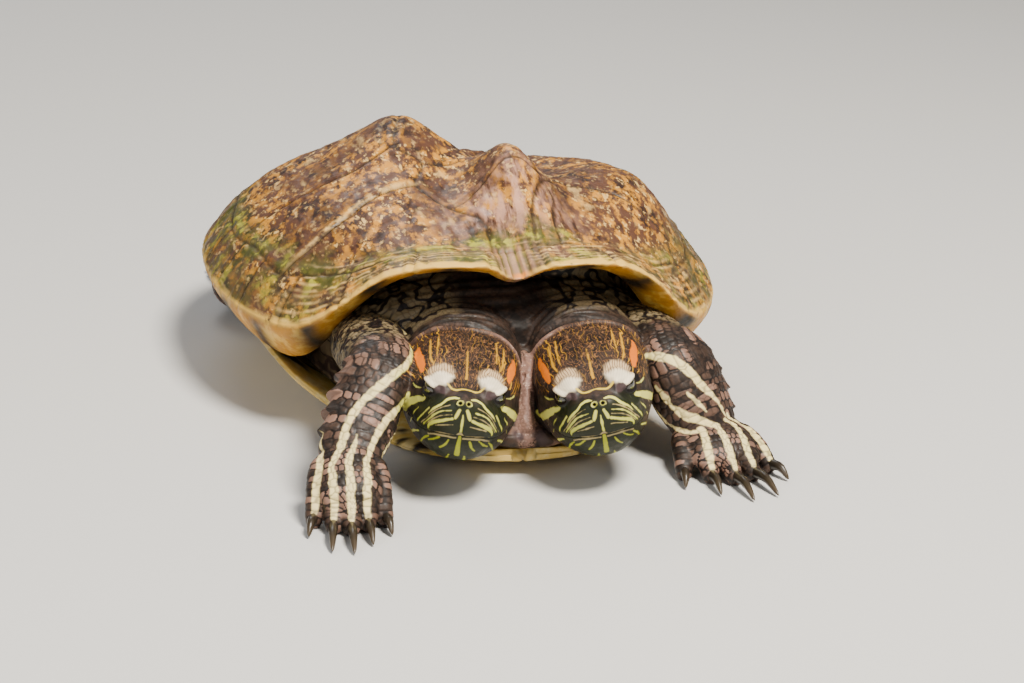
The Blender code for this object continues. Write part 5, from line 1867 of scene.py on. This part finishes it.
    @staticmethod
    def refine(item: Piece, chosen: Array) -> None:
        """Divide the faces round the chosen vertices in four and round what is new."""
        mesh = bmesh.new()
        mesh.from_mesh(item.data)
        before = len(mesh.verts)
        edges = [edge for edge in mesh.edges if chosen[edge.verts[0].index] and chosen[edge.verts[1].index]]
        bmesh.ops.subdivide_edges(mesh, edges=edges, cuts=1, use_grid_fill=True)
        mesh.to_mesh(item.data)
        mesh.free()
        points = read_points(item)
        ends = np.zeros(len(item.data.edges) * 2, np.int64)
        item.data.edges.foreach_get("vertices", ends)
        first, second = ends.reshape(-1, 2).T
        touched = np.zeros(len(points), bool)
        touched[before:] = True
        touched[first[touched[second]]] = True
        count = np.bincount(first, minlength=len(points)) + np.bincount(second, minlength=len(points))
        for _ in range(4):
            total = np.stack([np.bincount(first, points[second, axis], len(points))
                              + np.bincount(second, points[first, axis], len(points))
                              for axis in range(3)], axis=1)
            points = np.where(touched[:, None], 0.5 * points + 0.5 * total / count[:, None], points)
        write_points(item, points)

    def territories(self) -> list[Territory]:
        """Every stretch of skin that has scales of its own."""
        out = []
        for head in self.heads:
            middle = head.world(np.array([0.0, 20.0, 0.0]))
            out.append(Territory(middle - 0.034, middle + 0.034, self.head_reader(head)))
            out.append(Territory.of_tube(head.neck, self.neck_pattern, 0.02))
        for limb in self.limbs:
            out.append(Territory.of_tube(limb.tube, limb.relief))
            out.append(Territory.of_tube(limb.palm, limb.palm_relief))
            out += [Territory.of_tube(digit, limb.digit_relief, 0.03) for digit in limb.digits]
        out.append(Territory.of_tube(self.tail, self.tail_pattern))
        out.append(Territory.of_tube(self.fold, self.fold_pattern, -0.15))
        return out

    @staticmethod
    def head_reader(head: Head) -> Callable[[Array], tuple[Array, Array, Array, Array]]:
        """Reach and the faint scales of a head."""

        def read(points: Array) -> tuple[Array, Array, Array, Array]:
            """Reach, height, crease and pinkness at points."""
            places = head.local(points)
            chart = head.chart(places)
            pattern = Scales(1.3, 1.3, 0.25, 90 + head.side.value).read(chart[:, 1], chart[:, 0])
            rear = ramp(14.0, 26.0, places[:, 1])
            height = pattern[0] * 0.05 * MM * rear
            return head.reach(places), height, pattern[1] * rear * 0.4, 0.5 + 0.3 * pattern[2]

        return read

    @staticmethod
    def neck_pattern(where: Located) -> tuple[Array, Array, Array]:
        """Loose folds across a neck, with small grains."""
        fold = np.sin(where.arc / (2.8 * MM) * 2 * math.pi + 0.8 * np.sin(where.angle * 3))
        grains = Scales(1.0 * MM, 1.2 * MM, 0.25, 95).read(where.arc, where.around)
        return 0.22 * MM * fold + 0.06 * MM * grains[0], grains[1] * 0.6, 0.20 * grains[2]

    @staticmethod
    def tail_pattern(where: Located) -> tuple[Array, Array, Array]:
        """Rings of small scales round the tail."""
        scales = Scales(1.8 * MM, 1.8 * MM, 0.15, 97).read(where.arc, where.around)
        return scales[0] * 0.18 * MM, scales[1], 0.5 + 0.5 * scales[2]

    @staticmethod
    def fold_pattern(where: Located) -> tuple[Array, Array, Array]:
        """Small grains on the fold between the heads."""
        scales = Scales(0.8 * MM, 0.8 * MM, 0.25, 99).read(where.arc, where.around)
        around = np.stack([where.arc * 0.45, where.around, where.reach * 0], axis=1)
        ridges = soft_noise(around, 0.9 * MM, 98)
        return (0.12 * scales[0] + 0.22 * ridges) * MM, scales[1] * 0.8, np.ones(len(where.arc)) * 0.9

    def dress(self, item: Piece) -> None:
        """Sculpt the faces, press in the scales and keep the masks of every mark."""
        points = read_points(item)
        points[:, 2] = np.maximum(points[:, 2], 0.0)
        count = len(points)
        masks = {name: np.zeros(count) for name in self.BANDS}
        reaches = [head.reach(head.local(points)) for head in self.heads]
        relief, crease, pink = self.scales(points)
        for number, head in enumerate(self.heads):
            own, other = reaches[number], reaches[1 - number]
            rear = ramp(13.0, 18.0, head.local(points)[:, 1])
            share = ramp(1.55 - 0.35 * rear, 1.25 - 0.17 * rear, own) * ramp(-0.06, 0.06, other - own)
            points, found = head.sculpt(points, share)
            for name, values in found.items():
                masks[name] = np.maximum(masks[name], values)
        write_points(item, points)
        normals = read_points(item, "normal")
        quiet = np.maximum.reduce([masks["slit"], masks["lid"] * 0.7, masks["purple"], masks["dark"]])
        points = points + normals * (relief * (1 - quiet))[:, None]
        points[:, 2] = np.maximum(points[:, 2], 0.0)
        write_points(item, points)
        # Painted shade in the grooves between scales
        masks["groove"] = crease * (1 - quiet)
        masks["pink"] = pink
        ragged = soft_noise(points, 1.3 * MM, 63)
        for place in self.SWELLINGS:
            apart = np.linalg.norm(points - np.array(place[:3]) * MM, axis=1) / MM + 0.4 * ragged
            masks["purple"] = np.maximum(masks["purple"], ramp(place[3] + 0.8, place[3] - 0.3, apart))
        where = self.fold.locate(points)
        strip = ramp(1.50, 1.20, where.reach + 0.16 * ragged) * (0.86 + 0.20 * ragged)
        strip *= ramp(-64.0 * MM, -69.0 * MM, points[:, 1])
        masks["pale"] = np.maximum(masks["pale"], strip)
        start = np.where(points[:, 0] < 0, -0.078, -0.067)
        shoulder = ramp(0.0, 0.008, points[:, 1] - start) * ramp(-0.020, -0.040, points[:, 1])
        aside = ramp(9 * MM, 16 * MM, np.abs(points[:, 0] + 1 * MM))
        masks["loose"] = shoulder * aside * ramp(1.02, 1.30, np.minimum(*reaches))
        self.paint(points, masks)
        for name, values in masks.items():
            write_mask(item, name, values)
        place = np.zeros((count, 3))
        for number, head in enumerate(self.heads):
            nearer = (reaches[number] <= reaches[1 - number])[:, None]
            place = np.where(nearer, head.chart(head.local(points)), place)
        write_places(item, "head_place", place * MM)

    def scales(self, points: Array) -> tuple[Array, Array, Array]:
        """Relief, creases and pinkness over the whole skin.

        Args:
            points: places on the skin.

        Returns:
            Height in metres, closeness to a crease, and how pink each scale is.
        """
        territories = self.territories()
        least = np.full(len(points), 1.6)
        read = []
        for ground in territories:
            near = np.flatnonzero(((points > ground.low) & (points < ground.high)).all(1))
            reach, *pattern = ground.read(points[near])
            least[near] = np.minimum(least[near], reach)
            read.append((near, reach, pattern))
        weight = np.exp(-(1.6 - least) / self.blend)
        plain = Scales(2.0 * MM, 2.0 * MM, 0.25, 49).read(points[:, 0], points[:, 1] + points[:, 2])
        sums = [weight * 0.05 * MM * plain[0], weight * plain[1] * 0.5, weight * 0.5]
        for near, reach, pattern in read:
            share = np.exp(-(reach - least[near]) / self.blend)
            weight[near] += share
            for total, values in zip(sums, pattern):
                total[near] += share * values
        return tuple(total / weight for total in sums)

    def paint(self, points: Array, masks: dict[str, Array]) -> None:
        """Lay every mark on the skin and add it to its tint's mask."""
        chosen = np.flatnonzero(points[:, 1] < self.painted_front)
        tree = KDTree(len(chosen))
        for index in chosen:
            tree.insert(points[index], int(index))
        tree.balance()
        wobble = soft_noise(points, 1.1 * MM, 61) * 0.10 * MM + soft_noise(points, 0.45 * MM, 62) * 0.05 * MM
        for part in (*self.heads, *self.limbs):
            rough = 1.0 if isinstance(part, Head) else 2.2
            for tint, mark in part.marks():
                if mark.path[:, 1].max() < self.painted_front:
                    mark.lay_on(tree)
                shown = mark.strength(points, self.soft_edge * (1.0 if rough == 1.0 else 1.5), wobble * rough)
                masks[tint.value] = np.maximum(masks[tint.value], shown)
        for head in self.heads:
            where = head.neck.locate(points)
            band = ramp(1.5, 1.2, where.reach) * ramp(4 * MM, 10 * MM, where.arc)
            aside = head.local(points)[:, 0] * head.side.value
            angle = np.abs(np.degrees(where.angle)) + np.degrees(wobble / where.side) * 2
            band = band * ramp(-0.5, 1.5, aside)
            band = np.where(angle > 105, band, band * ramp(4.0, 8.0, aside))
            for line in (70, 95, 120, 150):
                gap = np.abs(angle - line) * math.pi / 180 * where.side
                masks["stripe"] = np.maximum(masks["stripe"], band * ramp(0.7 * MM, 0.4 * MM, gap) * 0.9)
        where = self.tail.locate(points)
        gap = np.abs(np.abs(np.degrees(where.angle)) - 35) * math.pi / 180 * where.side
        tail = ramp(1.4, 1.1, where.reach) * ramp(0.060, 0.075, points[:, 1])
        masks["stripe"] = np.maximum(masks["stripe"], tail * ramp(0.9 * MM, 0.5 * MM, gap))


@dataclass
class Eye:
    """An eyeball with the places its iris and pupil are painted from."""

    head: Head
    sign: int
    rings: int = 48

    def build(self) -> Piece:
        """Model the ball, with a slightly raised cornea."""
        centre, axes = self.head.eye_frame(self.sign)
        tops = np.linspace(0.01, math.pi - 0.01, self.rings)
        rounds = np.linspace(0, 2 * math.pi, 2 * self.rings, endpoint=False)
        local = np.stack([np.outer(np.sin(tops), np.cos(rounds)), np.outer(np.sin(tops), np.sin(rounds)),
                          np.outer(np.cos(tops), np.ones(2 * self.rings))], axis=-1)
        cornea = ramp(0.66, 0.30, np.hypot(local[..., 0], local[..., 1])) * (local[..., 2] > 0)
        radius = self.head.eye_radius - 0.30 + 0.22 * cornea
        rings = self.head.world(centre + (local * radius[..., None]) @ axes)
        item = closed_piece(f"eyeball_{Side(self.sign).word}_of_{self.head.side.word}_head", rings)
        write_places(item, "eye_place", local.reshape(-1, 3))
        return item


@dataclass
class Claw:
    """A curved claw: thick at its root, sharp at its end."""

    stations: list[Array]
    name: str
    rings: int = 36
    sides: int = 24
    sharp_share: float = 0.10

    def build(self) -> Piece:
        """Model the claw as rings along its arch."""
        tube = Tube(self.stations, (0, 0, 1), self.rings, self.sides, 2.0)
        share = np.linspace(0, 1, self.rings)
        taper = np.sqrt(np.clip((1.0 - share) / self.sharp_share, 0.04, 1.0))
        tube.halves = tube.halves * taper[:, None]
        item = closed_piece(self.name, tube.rings())
        write_mask(item, "length", np.repeat(share, self.sides))
        return item


# ---- finishes


@dataclass(frozen=True)
class HornFinish:
    """Brown horn of the carapace, yellow under its rim."""

    base: Colour = (0.088, 0.037, 0.020)
    dark: Colour = (0.026, 0.012, 0.008)
    gold: Colour = (0.56, 0.235, 0.016)
    seam: Colour = (0.022, 0.013, 0.006)
    algae: Colour = (0.060, 0.070, 0.008)
    lime: Colour = (0.38, 0.36, 0.02)
    rim: Colour = (0.74, 0.45, 0.08)
    ochre: Colour = (0.50, 0.22, 0.015)
    cream: Colour = (0.78, 0.50, 0.17)
    # Pink of rubbed horn on the pleats' ridges and the front keel; on the keel it is also a painted highlight
    pink: Colour = (0.56, 0.300, 0.205)
    olive: Colour = (0.070, 0.052, 0.024)
    orange: Colour = (0.80, 0.25, 0.02)
    black: Colour = (0.014, 0.010, 0.006)

    def make(self, effects: Effects) -> bpy.types.Material:
        """Build the material."""
        finish = Finish("carapace horn", effects)
        graph = finish.graph
        place = graph.object_place()
        drawn = graph.stretch(place, (1.0, 0.55, 1.0))
        ground = finish.mottle(drawn, 130.0, self.base, self.dark, 0.53)
        patches = graph.rise(graph.noise(place, 62.0, 3.0, 0.55), 0.40, 0.56)
        flecks = graph.rise(graph.noise(drawn, 330.0, 4.0, 0.66), 0.47, 0.60)
        flecks = graph.times(flecks, graph.math("MULTIPLY_ADD", patches, 0.80, 0.16))
        colour = graph.mix(flecks, ground, self.gold)
        specks = graph.rise(graph.noise(drawn, 620.0, 3.0, 0.6), 0.56, 0.66)
        specks = graph.times(specks, graph.math("MULTIPLY_ADD", patches, 0.55, 0.25))
        colour = graph.mix(specks, colour, self.cream)
        streaks = graph.rise(graph.noise(graph.stretch(place, (1.0, 0.22, 1.0)), 260.0, 3.0, 0.6), 0.60, 0.72)
        colour = graph.mix(graph.times(streaks, 0.45), colour, self.cream)
        # Pink patch on the front keel, broken into streaks: partly wear of the horn, partly a painted
        # highlight
        keel_streaks = graph.noise(graph.stretch(place, (1.0, 0.22, 0.22)), 420.0, 4.0, 0.62)
        worn = graph.broken("worn", keel_streaks, 0.40, 0.60)
        colour = graph.mix(graph.times(worn, 0.85), colour, self.pink)
        aged = graph.broken("outer", graph.noise(drawn, 210.0, 4.0, 0.6), 0.42, 0.60)
        colour = graph.mix(graph.times(aged, 0.65), colour, self.olive)
        film = graph.noise(place, 150.0, 4.0, 0.65)
        algae = graph.mix(graph.rise(film, 0.52, 0.62), self.algae, self.lime)
        green = graph.broken("algae", graph.noise(place, 95.0, 4.0, 0.6), 0.38, 0.56)
        colour = graph.mix(graph.times(green, 0.85), colour, algae)
        colour = graph.lay(colour, "seam", self.seam, 0.80)
        lip = graph.broken("costal_lip", graph.noise(place, 380.0, 3.0, 0.6), 0.36, 0.60)
        colour = graph.mix(graph.times(lip, 0.7), colour, self.cream)
        lines = graph.broken("line", graph.noise(place, 200.0, 3.0, 0.6), 0.36, 0.60)
        colour = graph.mix(graph.times(lines, 0.6), colour, self.cream)
        ridges = graph.lay(self.algae, "ridge", self.pink)
        colour = graph.lay(colour, "pleat", ridges, 0.8)
        edge = graph.broken("edge", graph.noise(place, 220.0, 4.0, 0.65), 0.30, 0.44)
        colour = graph.mix(edge, colour, self.rim)
        colour = graph.lay(colour, "tip", self.orange)
        under = finish.mottle(place, 120.0, self.ochre, self.rim, 0.54)
        under = graph.lay(under, "blotch", self.black)
        colour = graph.lay(colour, "under", under)
        ridged = graph.stretch(place, (1.0, 0.5, 1.0))
        grain = finish.use(Effect.GRAIN, Place=ridged, Scale=1500.0).outputs["Height"]
        rough = graph.rise(graph.noise(place, 300.0, 3.0, 0.6), 0.3, 0.7, 0.36, 0.66)
        rough = graph.math("MULTIPLY_ADD", graph.mask("worn"), -0.12, rough)
        finish.set(Base_Color=colour, Roughness=rough, Specular_IOR_Level=0.32)
        finish.bump(grain, 0.35, 0.12 * MM)
        return finish.material


@dataclass(frozen=True)
class PlateFinish:
    """Yellow horn with dark blotches."""

    yellow: Colour = (0.66, 0.45, 0.11)
    pale: Colour = (0.74, 0.58, 0.25)
    black: Colour = (0.022, 0.016, 0.010)
    seam: Colour = (0.12, 0.07, 0.03)

    def make(self, effects: Effects) -> bpy.types.Material:
        """Build the material."""
        finish = Finish("plastron horn", effects)
        graph = finish.graph
        place = graph.object_place()
        colour = finish.mottle(place, 110.0, self.yellow, self.pale, 0.52)
        colour = graph.lay(colour, "blotch", self.black)
        colour = graph.lay(colour, "seam", self.seam, 0.7)
        grain = finish.use(Effect.GRAIN, Place=place, Scale=1400.0).outputs["Height"]
        finish.set(Base_Color=colour, Roughness=0.42, Specular_IOR_Level=0.35)
        finish.bump(grain, 0.2, 0.08 * MM)
        return finish.material


@dataclass(frozen=True)
class SkinFinish:
    """Dark scaled skin with cream, yellow and orange marks."""

    dark: Colour = (0.014, 0.010, 0.008)
    brown: Colour = (0.040, 0.024, 0.017)
    scale_pink: Colour = (0.27, 0.150, 0.105)
    # Near black: painted shade in scale grooves, nostrils, the mouth's crease and the eye slits; also the
    # loose skin's contour lines
    crease: Colour = (0.006, 0.004, 0.004)
    stripe: Colour = (0.82, 0.67, 0.30)
    stripe_face: Colour = (0.60, 0.57, 0.12)
    stripe_low: Colour = (0.50, 0.52, 0.05)
    gold: Colour = (0.50, 0.250, 0.014)
    brow: Colour = (0.60, 0.42, 0.040)
    thread: Colour = (0.20, 0.092, 0.036)
    orange: Colour = (0.66, 0.150, 0.0)
    green: Colour = (0.36, 0.38, 0.010)
    tan: Colour = (0.36, 0.28, 0.12)
    # Near-white lids: partly their own cream, partly a painted highlight
    lid: Colour = (0.90, 0.77, 0.54)
    lid_upper: Colour = (0.52, 0.33, 0.16)
    lid_line: Colour = (0.20, 0.105, 0.045)
    purple: Colour = (0.060, 0.038, 0.038)
    snout: Colour = (0.010, 0.014, 0.004)
    pale: Colour = (0.62, 0.42, 0.32)
    pale_dark: Colour = (0.24, 0.135, 0.105)
    loose: Colour = (0.18, 0.135, 0.070)

    def make(self, effects: Effects) -> bpy.types.Material:
        """Build the material."""
        finish = Finish("turtle skin", effects)
        graph = finish.graph
        place = graph.object_place()
        ground = finish.mottle(place, 260.0, self.dark, self.brown, 0.5)
        limbs = graph.math("SUBTRACT", 1.0, graph.mask("face"))
        blush = graph.times(graph.rise(graph.mask("pink"), 0.30, 0.95), limbs)
        away = graph.rise(graph.mask("groove"), 0.5, 0.0)
        colour = graph.mix(graph.times(graph.times(blush, away), 0.85), ground, self.scale_pink)
        loose = finish.use(Effect.CONTOURS, Place=place, Scale=230.0, Width=0.07).outputs["Line"]
        loose = graph.mix(loose, self.loose, self.crease)
        colour = graph.lay(colour, "loose", loose, 0.9)
        # Painted shade in the grooves between scales
        colour = graph.lay(colour, "groove", self.crease, 0.8)
        colour = graph.lay(colour, "snout", self.snout, 0.9)
        crown = graph.mask("crown")
        drawn = graph.stretch(graph.places("head_place"), (1.0, 0.42, 1.0))
        threads = finish.use(Effect.CONTOURS, Place=drawn, Scale=1150.0, Width=0.024).outputs["Line"]
        colour = graph.mix(graph.times(threads, crown), colour, self.thread)
        colour = graph.mix(graph.times(self.crown_lines(graph), crown), colour, self.gold)
        pale = finish.mottle(place, 700.0, self.pale, self.pale_dark, 0.40)
        colour = graph.lay(colour, "pale", pale)
        # Lids: their own cream, with a painted highlight on the lower part
        colour = graph.lay(colour, "lid", self.lid_colour(graph))
        colour = graph.lay(colour, "purple", self.purple)
        for name in ("gold", "brow", "green", "tan"):
            colour = graph.lay(colour, name, getattr(self, name))
        stripe = graph.lay(self.stripe, "face", self.stripe_face)
        stripe = graph.lay(stripe, "low", self.stripe_low)
        # The stripes also get painted shade in the grooves
        stripe = graph.lay(stripe, "groove", self.brown, 0.6)
        colour = graph.lay(colour, "stripe", stripe)
        colour = graph.lay(colour, "orange", self.orange)
        # Painted shade in the nostrils and the mouth's crease
        colour = graph.lay(colour, "dark", self.crease)
        # Painted shade round the eye slits
        colour = graph.lay(colour, "slit", self.crease)
        grain = finish.use(Effect.GRAIN, Place=place, Scale=2600.0).outputs["Height"]
        rough = graph.rise(graph.noise(place, 500.0, 3.0, 0.6), 0.3, 0.7, 0.40, 0.62)
        finish.set(Base_Color=colour, Roughness=rough, Specular_IOR_Level=0.24)
        finish.bump(grain, 0.22, 0.08 * MM)
        return finish.material

    @staticmethod
    def waves(graph: Graph, bend: float, pitch: float, scale: float) -> tuple[Socket, Socket]:
        """A wave across a head whose crests wander as they run back.

        Args:
            graph: the material's graph.
            bend: how far the crests wander, in metres.
            pitch: distance between crests, in metres.
            scale: scale of the noise that bends them.

        Returns:
            The wave from -1 to 1, and the distance from the head's midline.
        """
        place = graph.places("head_place")
        parts = graph.node("ShaderNodeSeparateXYZ")
        graph.feed(parts.inputs[0], place)
        warp = graph.noise(graph.stretch(place, (1.0, 0.5, 1.0)), scale, 2.0, 0.5)
        across = graph.math("MULTIPLY_ADD", graph.math("SUBTRACT", warp, 0.5), bend, parts.outputs[0])
        wave = graph.math("COSINE", graph.times(across, 2 * math.pi / pitch))
        return wave, graph.math("ABSOLUTE", parts.outputs[0])

    def crown_lines(self, graph: Graph) -> Socket:
        """Wavy golden lines along the sides of a head's top."""
        wave, aside = self.waves(graph, 4.6 * MM, 1.25 * MM, 260.0)
        drawn = graph.stretch(graph.places("head_place"), (1.0, 0.4, 1.0))
        wide = graph.rise(graph.noise(drawn, 420.0, 2.0, 0.5), 0.42, 0.66, 0.99, 0.74)
        lines = graph.rise(wave, wide, graph.math("ADD", wide, 0.14))
        return graph.times(lines, graph.rise(aside, 3.0 * MM, 7.0 * MM, 0.25, 0.95))

    def lid_colour(self, graph: Graph) -> Socket:
        """Pale lids with fine dark lines in their upper part; the near-white lower part is partly the lids'
        own cream and partly a painted highlight.
        """
        wave, _ = self.waves(graph, 1.4 * MM, 0.62 * MM, 420.0)
        shown = graph.rise(graph.mask("lid_top"), 0.0, 1.0, 0.10, 1.0)
        lines = graph.times(graph.rise(wave, 0.30, 0.90), shown)
        ground = graph.mix(graph.rise(graph.mask("lid_top"), 0.2, 1.0, 0.0, 0.8), self.lid, self.lid_upper)
        return graph.mix(lines, ground, self.lid_line)


@dataclass(frozen=True)
class EyeFinish:
    """A dark wet eye with a greenish-yellow iris crossed by a black bar."""

    ball: Colour = (0.020, 0.016, 0.012)
    iris: Colour = (0.17, 0.18, 0.03)
    iris_dark: Colour = (0.05, 0.055, 0.01)
    black: Colour = (0.004, 0.004, 0.004)

    def make(self, effects: Effects) -> bpy.types.Material:
        """Build the material."""
        finish = Finish("eye", effects)
        graph = finish.graph
        place = graph.places("eye_place")
        parts = graph.node("ShaderNodeSeparateXYZ")
        graph.feed(parts.inputs[0], place)
        back, up, out = parts.outputs
        reach = graph.math("SQRT", graph.math("ADD", graph.times(back, back),
                                              graph.times(up, up)))
        flecks = graph.noise(graph.stretch(place, (9.0, 9.0, 9.0)), 1.0, 3.0, 0.6)
        iris = graph.mix(graph.rise(flecks, 0.35, 0.65), self.iris, self.iris_dark)
        colour = graph.mix(graph.rise(reach, 0.58, 0.64), iris, self.ball)
        bar = graph.times(graph.rise(graph.math("ABSOLUTE", up), 0.16, 0.10), graph.rise(reach, 0.70, 0.55))
        colour = graph.mix(bar, colour, self.black)
        colour = graph.mix(graph.rise(reach, 0.30, 0.26), colour, self.black)
        front = graph.rise(out, 0.0, 0.05)
        colour = graph.mix(front, self.ball, colour)
        finish.set(Base_Color=colour, Roughness=0.08, Coat_Weight=1.0, Coat_Roughness=0.02)
        return finish.material


@dataclass(frozen=True)
class ClawFinish:
    """Dark horn that turns paler and clearer towards the tip."""

    root: Colour = (0.016, 0.012, 0.008)
    tip: Colour = (0.060, 0.042, 0.024)

    def make(self, effects: Effects) -> bpy.types.Material:
        """Build the material."""
        finish = Finish("claw horn", effects)
        graph = finish.graph
        streak = graph.noise(graph.object_place(), 900.0, 2.0, 0.5)
        share = graph.math("ADD", graph.mask("length"), graph.times(streak, 0.25))
        colour = graph.mix(graph.rise(share, 0.45, 1.10), self.root, self.tip)
        finish.set(Base_Color=colour, Roughness=0.30, Specular_IOR_Level=0.4)
        return finish.material


# ---- studio


@dataclass(frozen=True)
class SoftLight:
    """An area light: place, what it looks at, size in metres and watts."""

    name: str
    place: tuple[float, float, float]
    aim: tuple[float, float, float]
    size: float
    power: float
    colour: Colour = (1.0, 1.0, 1.0)

    def add(self) -> None:
        """Put the light in the scene."""
        data = bpy.data.lights.new(self.name, "AREA")
        data.shape = "DISK"
        data.size = self.size
        data.energy = self.power
        data.color = self.colour
        item = bpy.data.objects.new(self.name, data)
        item.location = self.place
        towards = Vector(self.aim) - Vector(self.place)
        item.rotation_euler = towards.to_track_quat("-Z", "Y").to_euler()
        bpy.context.scene.collection.objects.link(item)


@dataclass
class Studio:
    """A pale floor, soft light and the camera, whose place was made by a fitting program."""

    azimuth: float = -12.96
    elevation: float = 17.75
    distance: float = 0.7051
    roll: float = 2.2255
    target: tuple[float, float, float] = (0.0147, 0.0, 0.0074)
    lens: float = 91.47
    floor_half: float = 4.0
    floor_colour: Colour = (0.62, 0.61, 0.59)
    world_strength: float = 0.20
    lights: tuple[SoftLight, ...] = (
        SoftLight("key", (0.20, -0.48, 0.88), (0.0, -0.03, 0.03), 0.30, 25.0, (1.0, 0.94, 0.84)),
        SoftLight("fill", (-0.75, -0.75, 0.50), (0.0, -0.03, 0.03), 0.60, 5.0),
        SoftLight("rim", (-0.10, 0.80, 0.75), (0.0, 0.0, 0.04), 0.50, 3.0),
    )

    def build(self) -> Piece:
        """Add everything and return the floor."""
        half = self.floor_half
        corners = np.array([(-half, -half, 0), (half, -half, 0), (half, half, 0), (-half, half, 0)])
        floor = add_mesh("floor", corners, [(0, 1, 2, 3)])
        paint = bpy.data.materials.new("floor paint")
        paint.use_nodes = True
        shader = paint.node_tree.nodes["Principled BSDF"]
        shader.inputs["Base Color"].default_value = (*self.floor_colour, 1.0)
        shader.inputs["Roughness"].default_value = 0.75
        floor.data.materials.append(paint)
        world = bpy.data.worlds.new("studio")
        world.use_nodes = True
        back = world.node_tree.nodes["Background"]
        back.inputs["Color"].default_value = (1.0, 1.0, 1.0, 1.0)
        back.inputs["Strength"].default_value = self.world_strength
        bpy.context.scene.world = world
        for light in self.lights:
            light.add()
        self.add_camera()
        return floor

    def add_camera(self) -> None:
        """Add the camera and look through it."""
        turn, lift, roll = (math.radians(angle) for angle in (self.azimuth, self.elevation, self.roll))
        back = np.array([math.sin(turn) * math.cos(lift), -math.cos(turn) * math.cos(lift), math.sin(lift)])
        right = np.array([math.cos(turn), math.sin(turn), 0.0])
        up = np.cross(back, right)
        rolled_right = right * math.cos(roll) + up * math.sin(roll)
        rolled_up = -right * math.sin(roll) + up * math.cos(roll)
        data = bpy.data.cameras.new("camera")
        data.lens = self.lens
        data.sensor_width = 36.0
        data.clip_start = 0.01
        item = bpy.data.objects.new("camera", data)
        place = np.array(self.target) + back * self.distance
        rows = np.column_stack([rolled_right, rolled_up, back])
        item.matrix_world = Matrix.Translation(place.tolist()) @ Matrix(rows.tolist()).to_4x4()
        bpy.context.scene.collection.objects.link(item)
        bpy.context.scene.camera = item


# ---- the whole


FLESH = ("trunk", "tail", *(f"{part}_{side.word}" for side in Side for part in (
    "neck", "head", "upper_arm", "forearm", "hand", "thigh", "shin", "foot")))


def place_piece(item: Piece, material: bpy.types.Material, slot: str, *nodes: str) -> None:
    """Dress a piece, fix it to the body and say which nodes it stands for."""
    item.data.materials.clear()
    item.data.materials.append(material)
    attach(item, "root")
    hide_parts(*nodes)
    LOG.info("%s: %d faces, stands for %s", item.name, len(item.data.polygons), ", ".join(nodes))


def main() -> None:
    """Build every piece."""
    logging.basicConfig(level=logging.INFO, format="%(name)s: %(message)s")
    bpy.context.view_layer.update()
    Studio().build()
    effects = Effects()
    form = ShellForm()
    carapace, plastron = Carapace(form), Plastron(form)
    place_piece(carapace.build(), HornFinish().make(effects), "carapace", "carapace")
    place_piece(plastron.build(), PlateFinish().make(effects), "plastron", "plastron")
    skin = Skin(form, plastron)
    place_piece(skin.build(), SkinFinish().make(effects), "skin", *FLESH)
    eye_material, claw_material = EyeFinish().make(effects), ClawFinish().make(effects)
    for head in skin.heads:
        for sign in (-1, 1):
            node = f"eye_{Side(sign).word}_of_{head.side.word}_head"
            place_piece(Eye(head, sign).build(), eye_material, "eye", node)
    for limb in skin.limbs:
        for number, stations in limb.claws.items():
            node = f"claw_{limb.plan.word}_{limb.side.word}_{number}"
            place_piece(Claw(stations, node.replace("claw", "nail")).build(), claw_material, "claw", node)


if __name__ == "__main__":
    main()
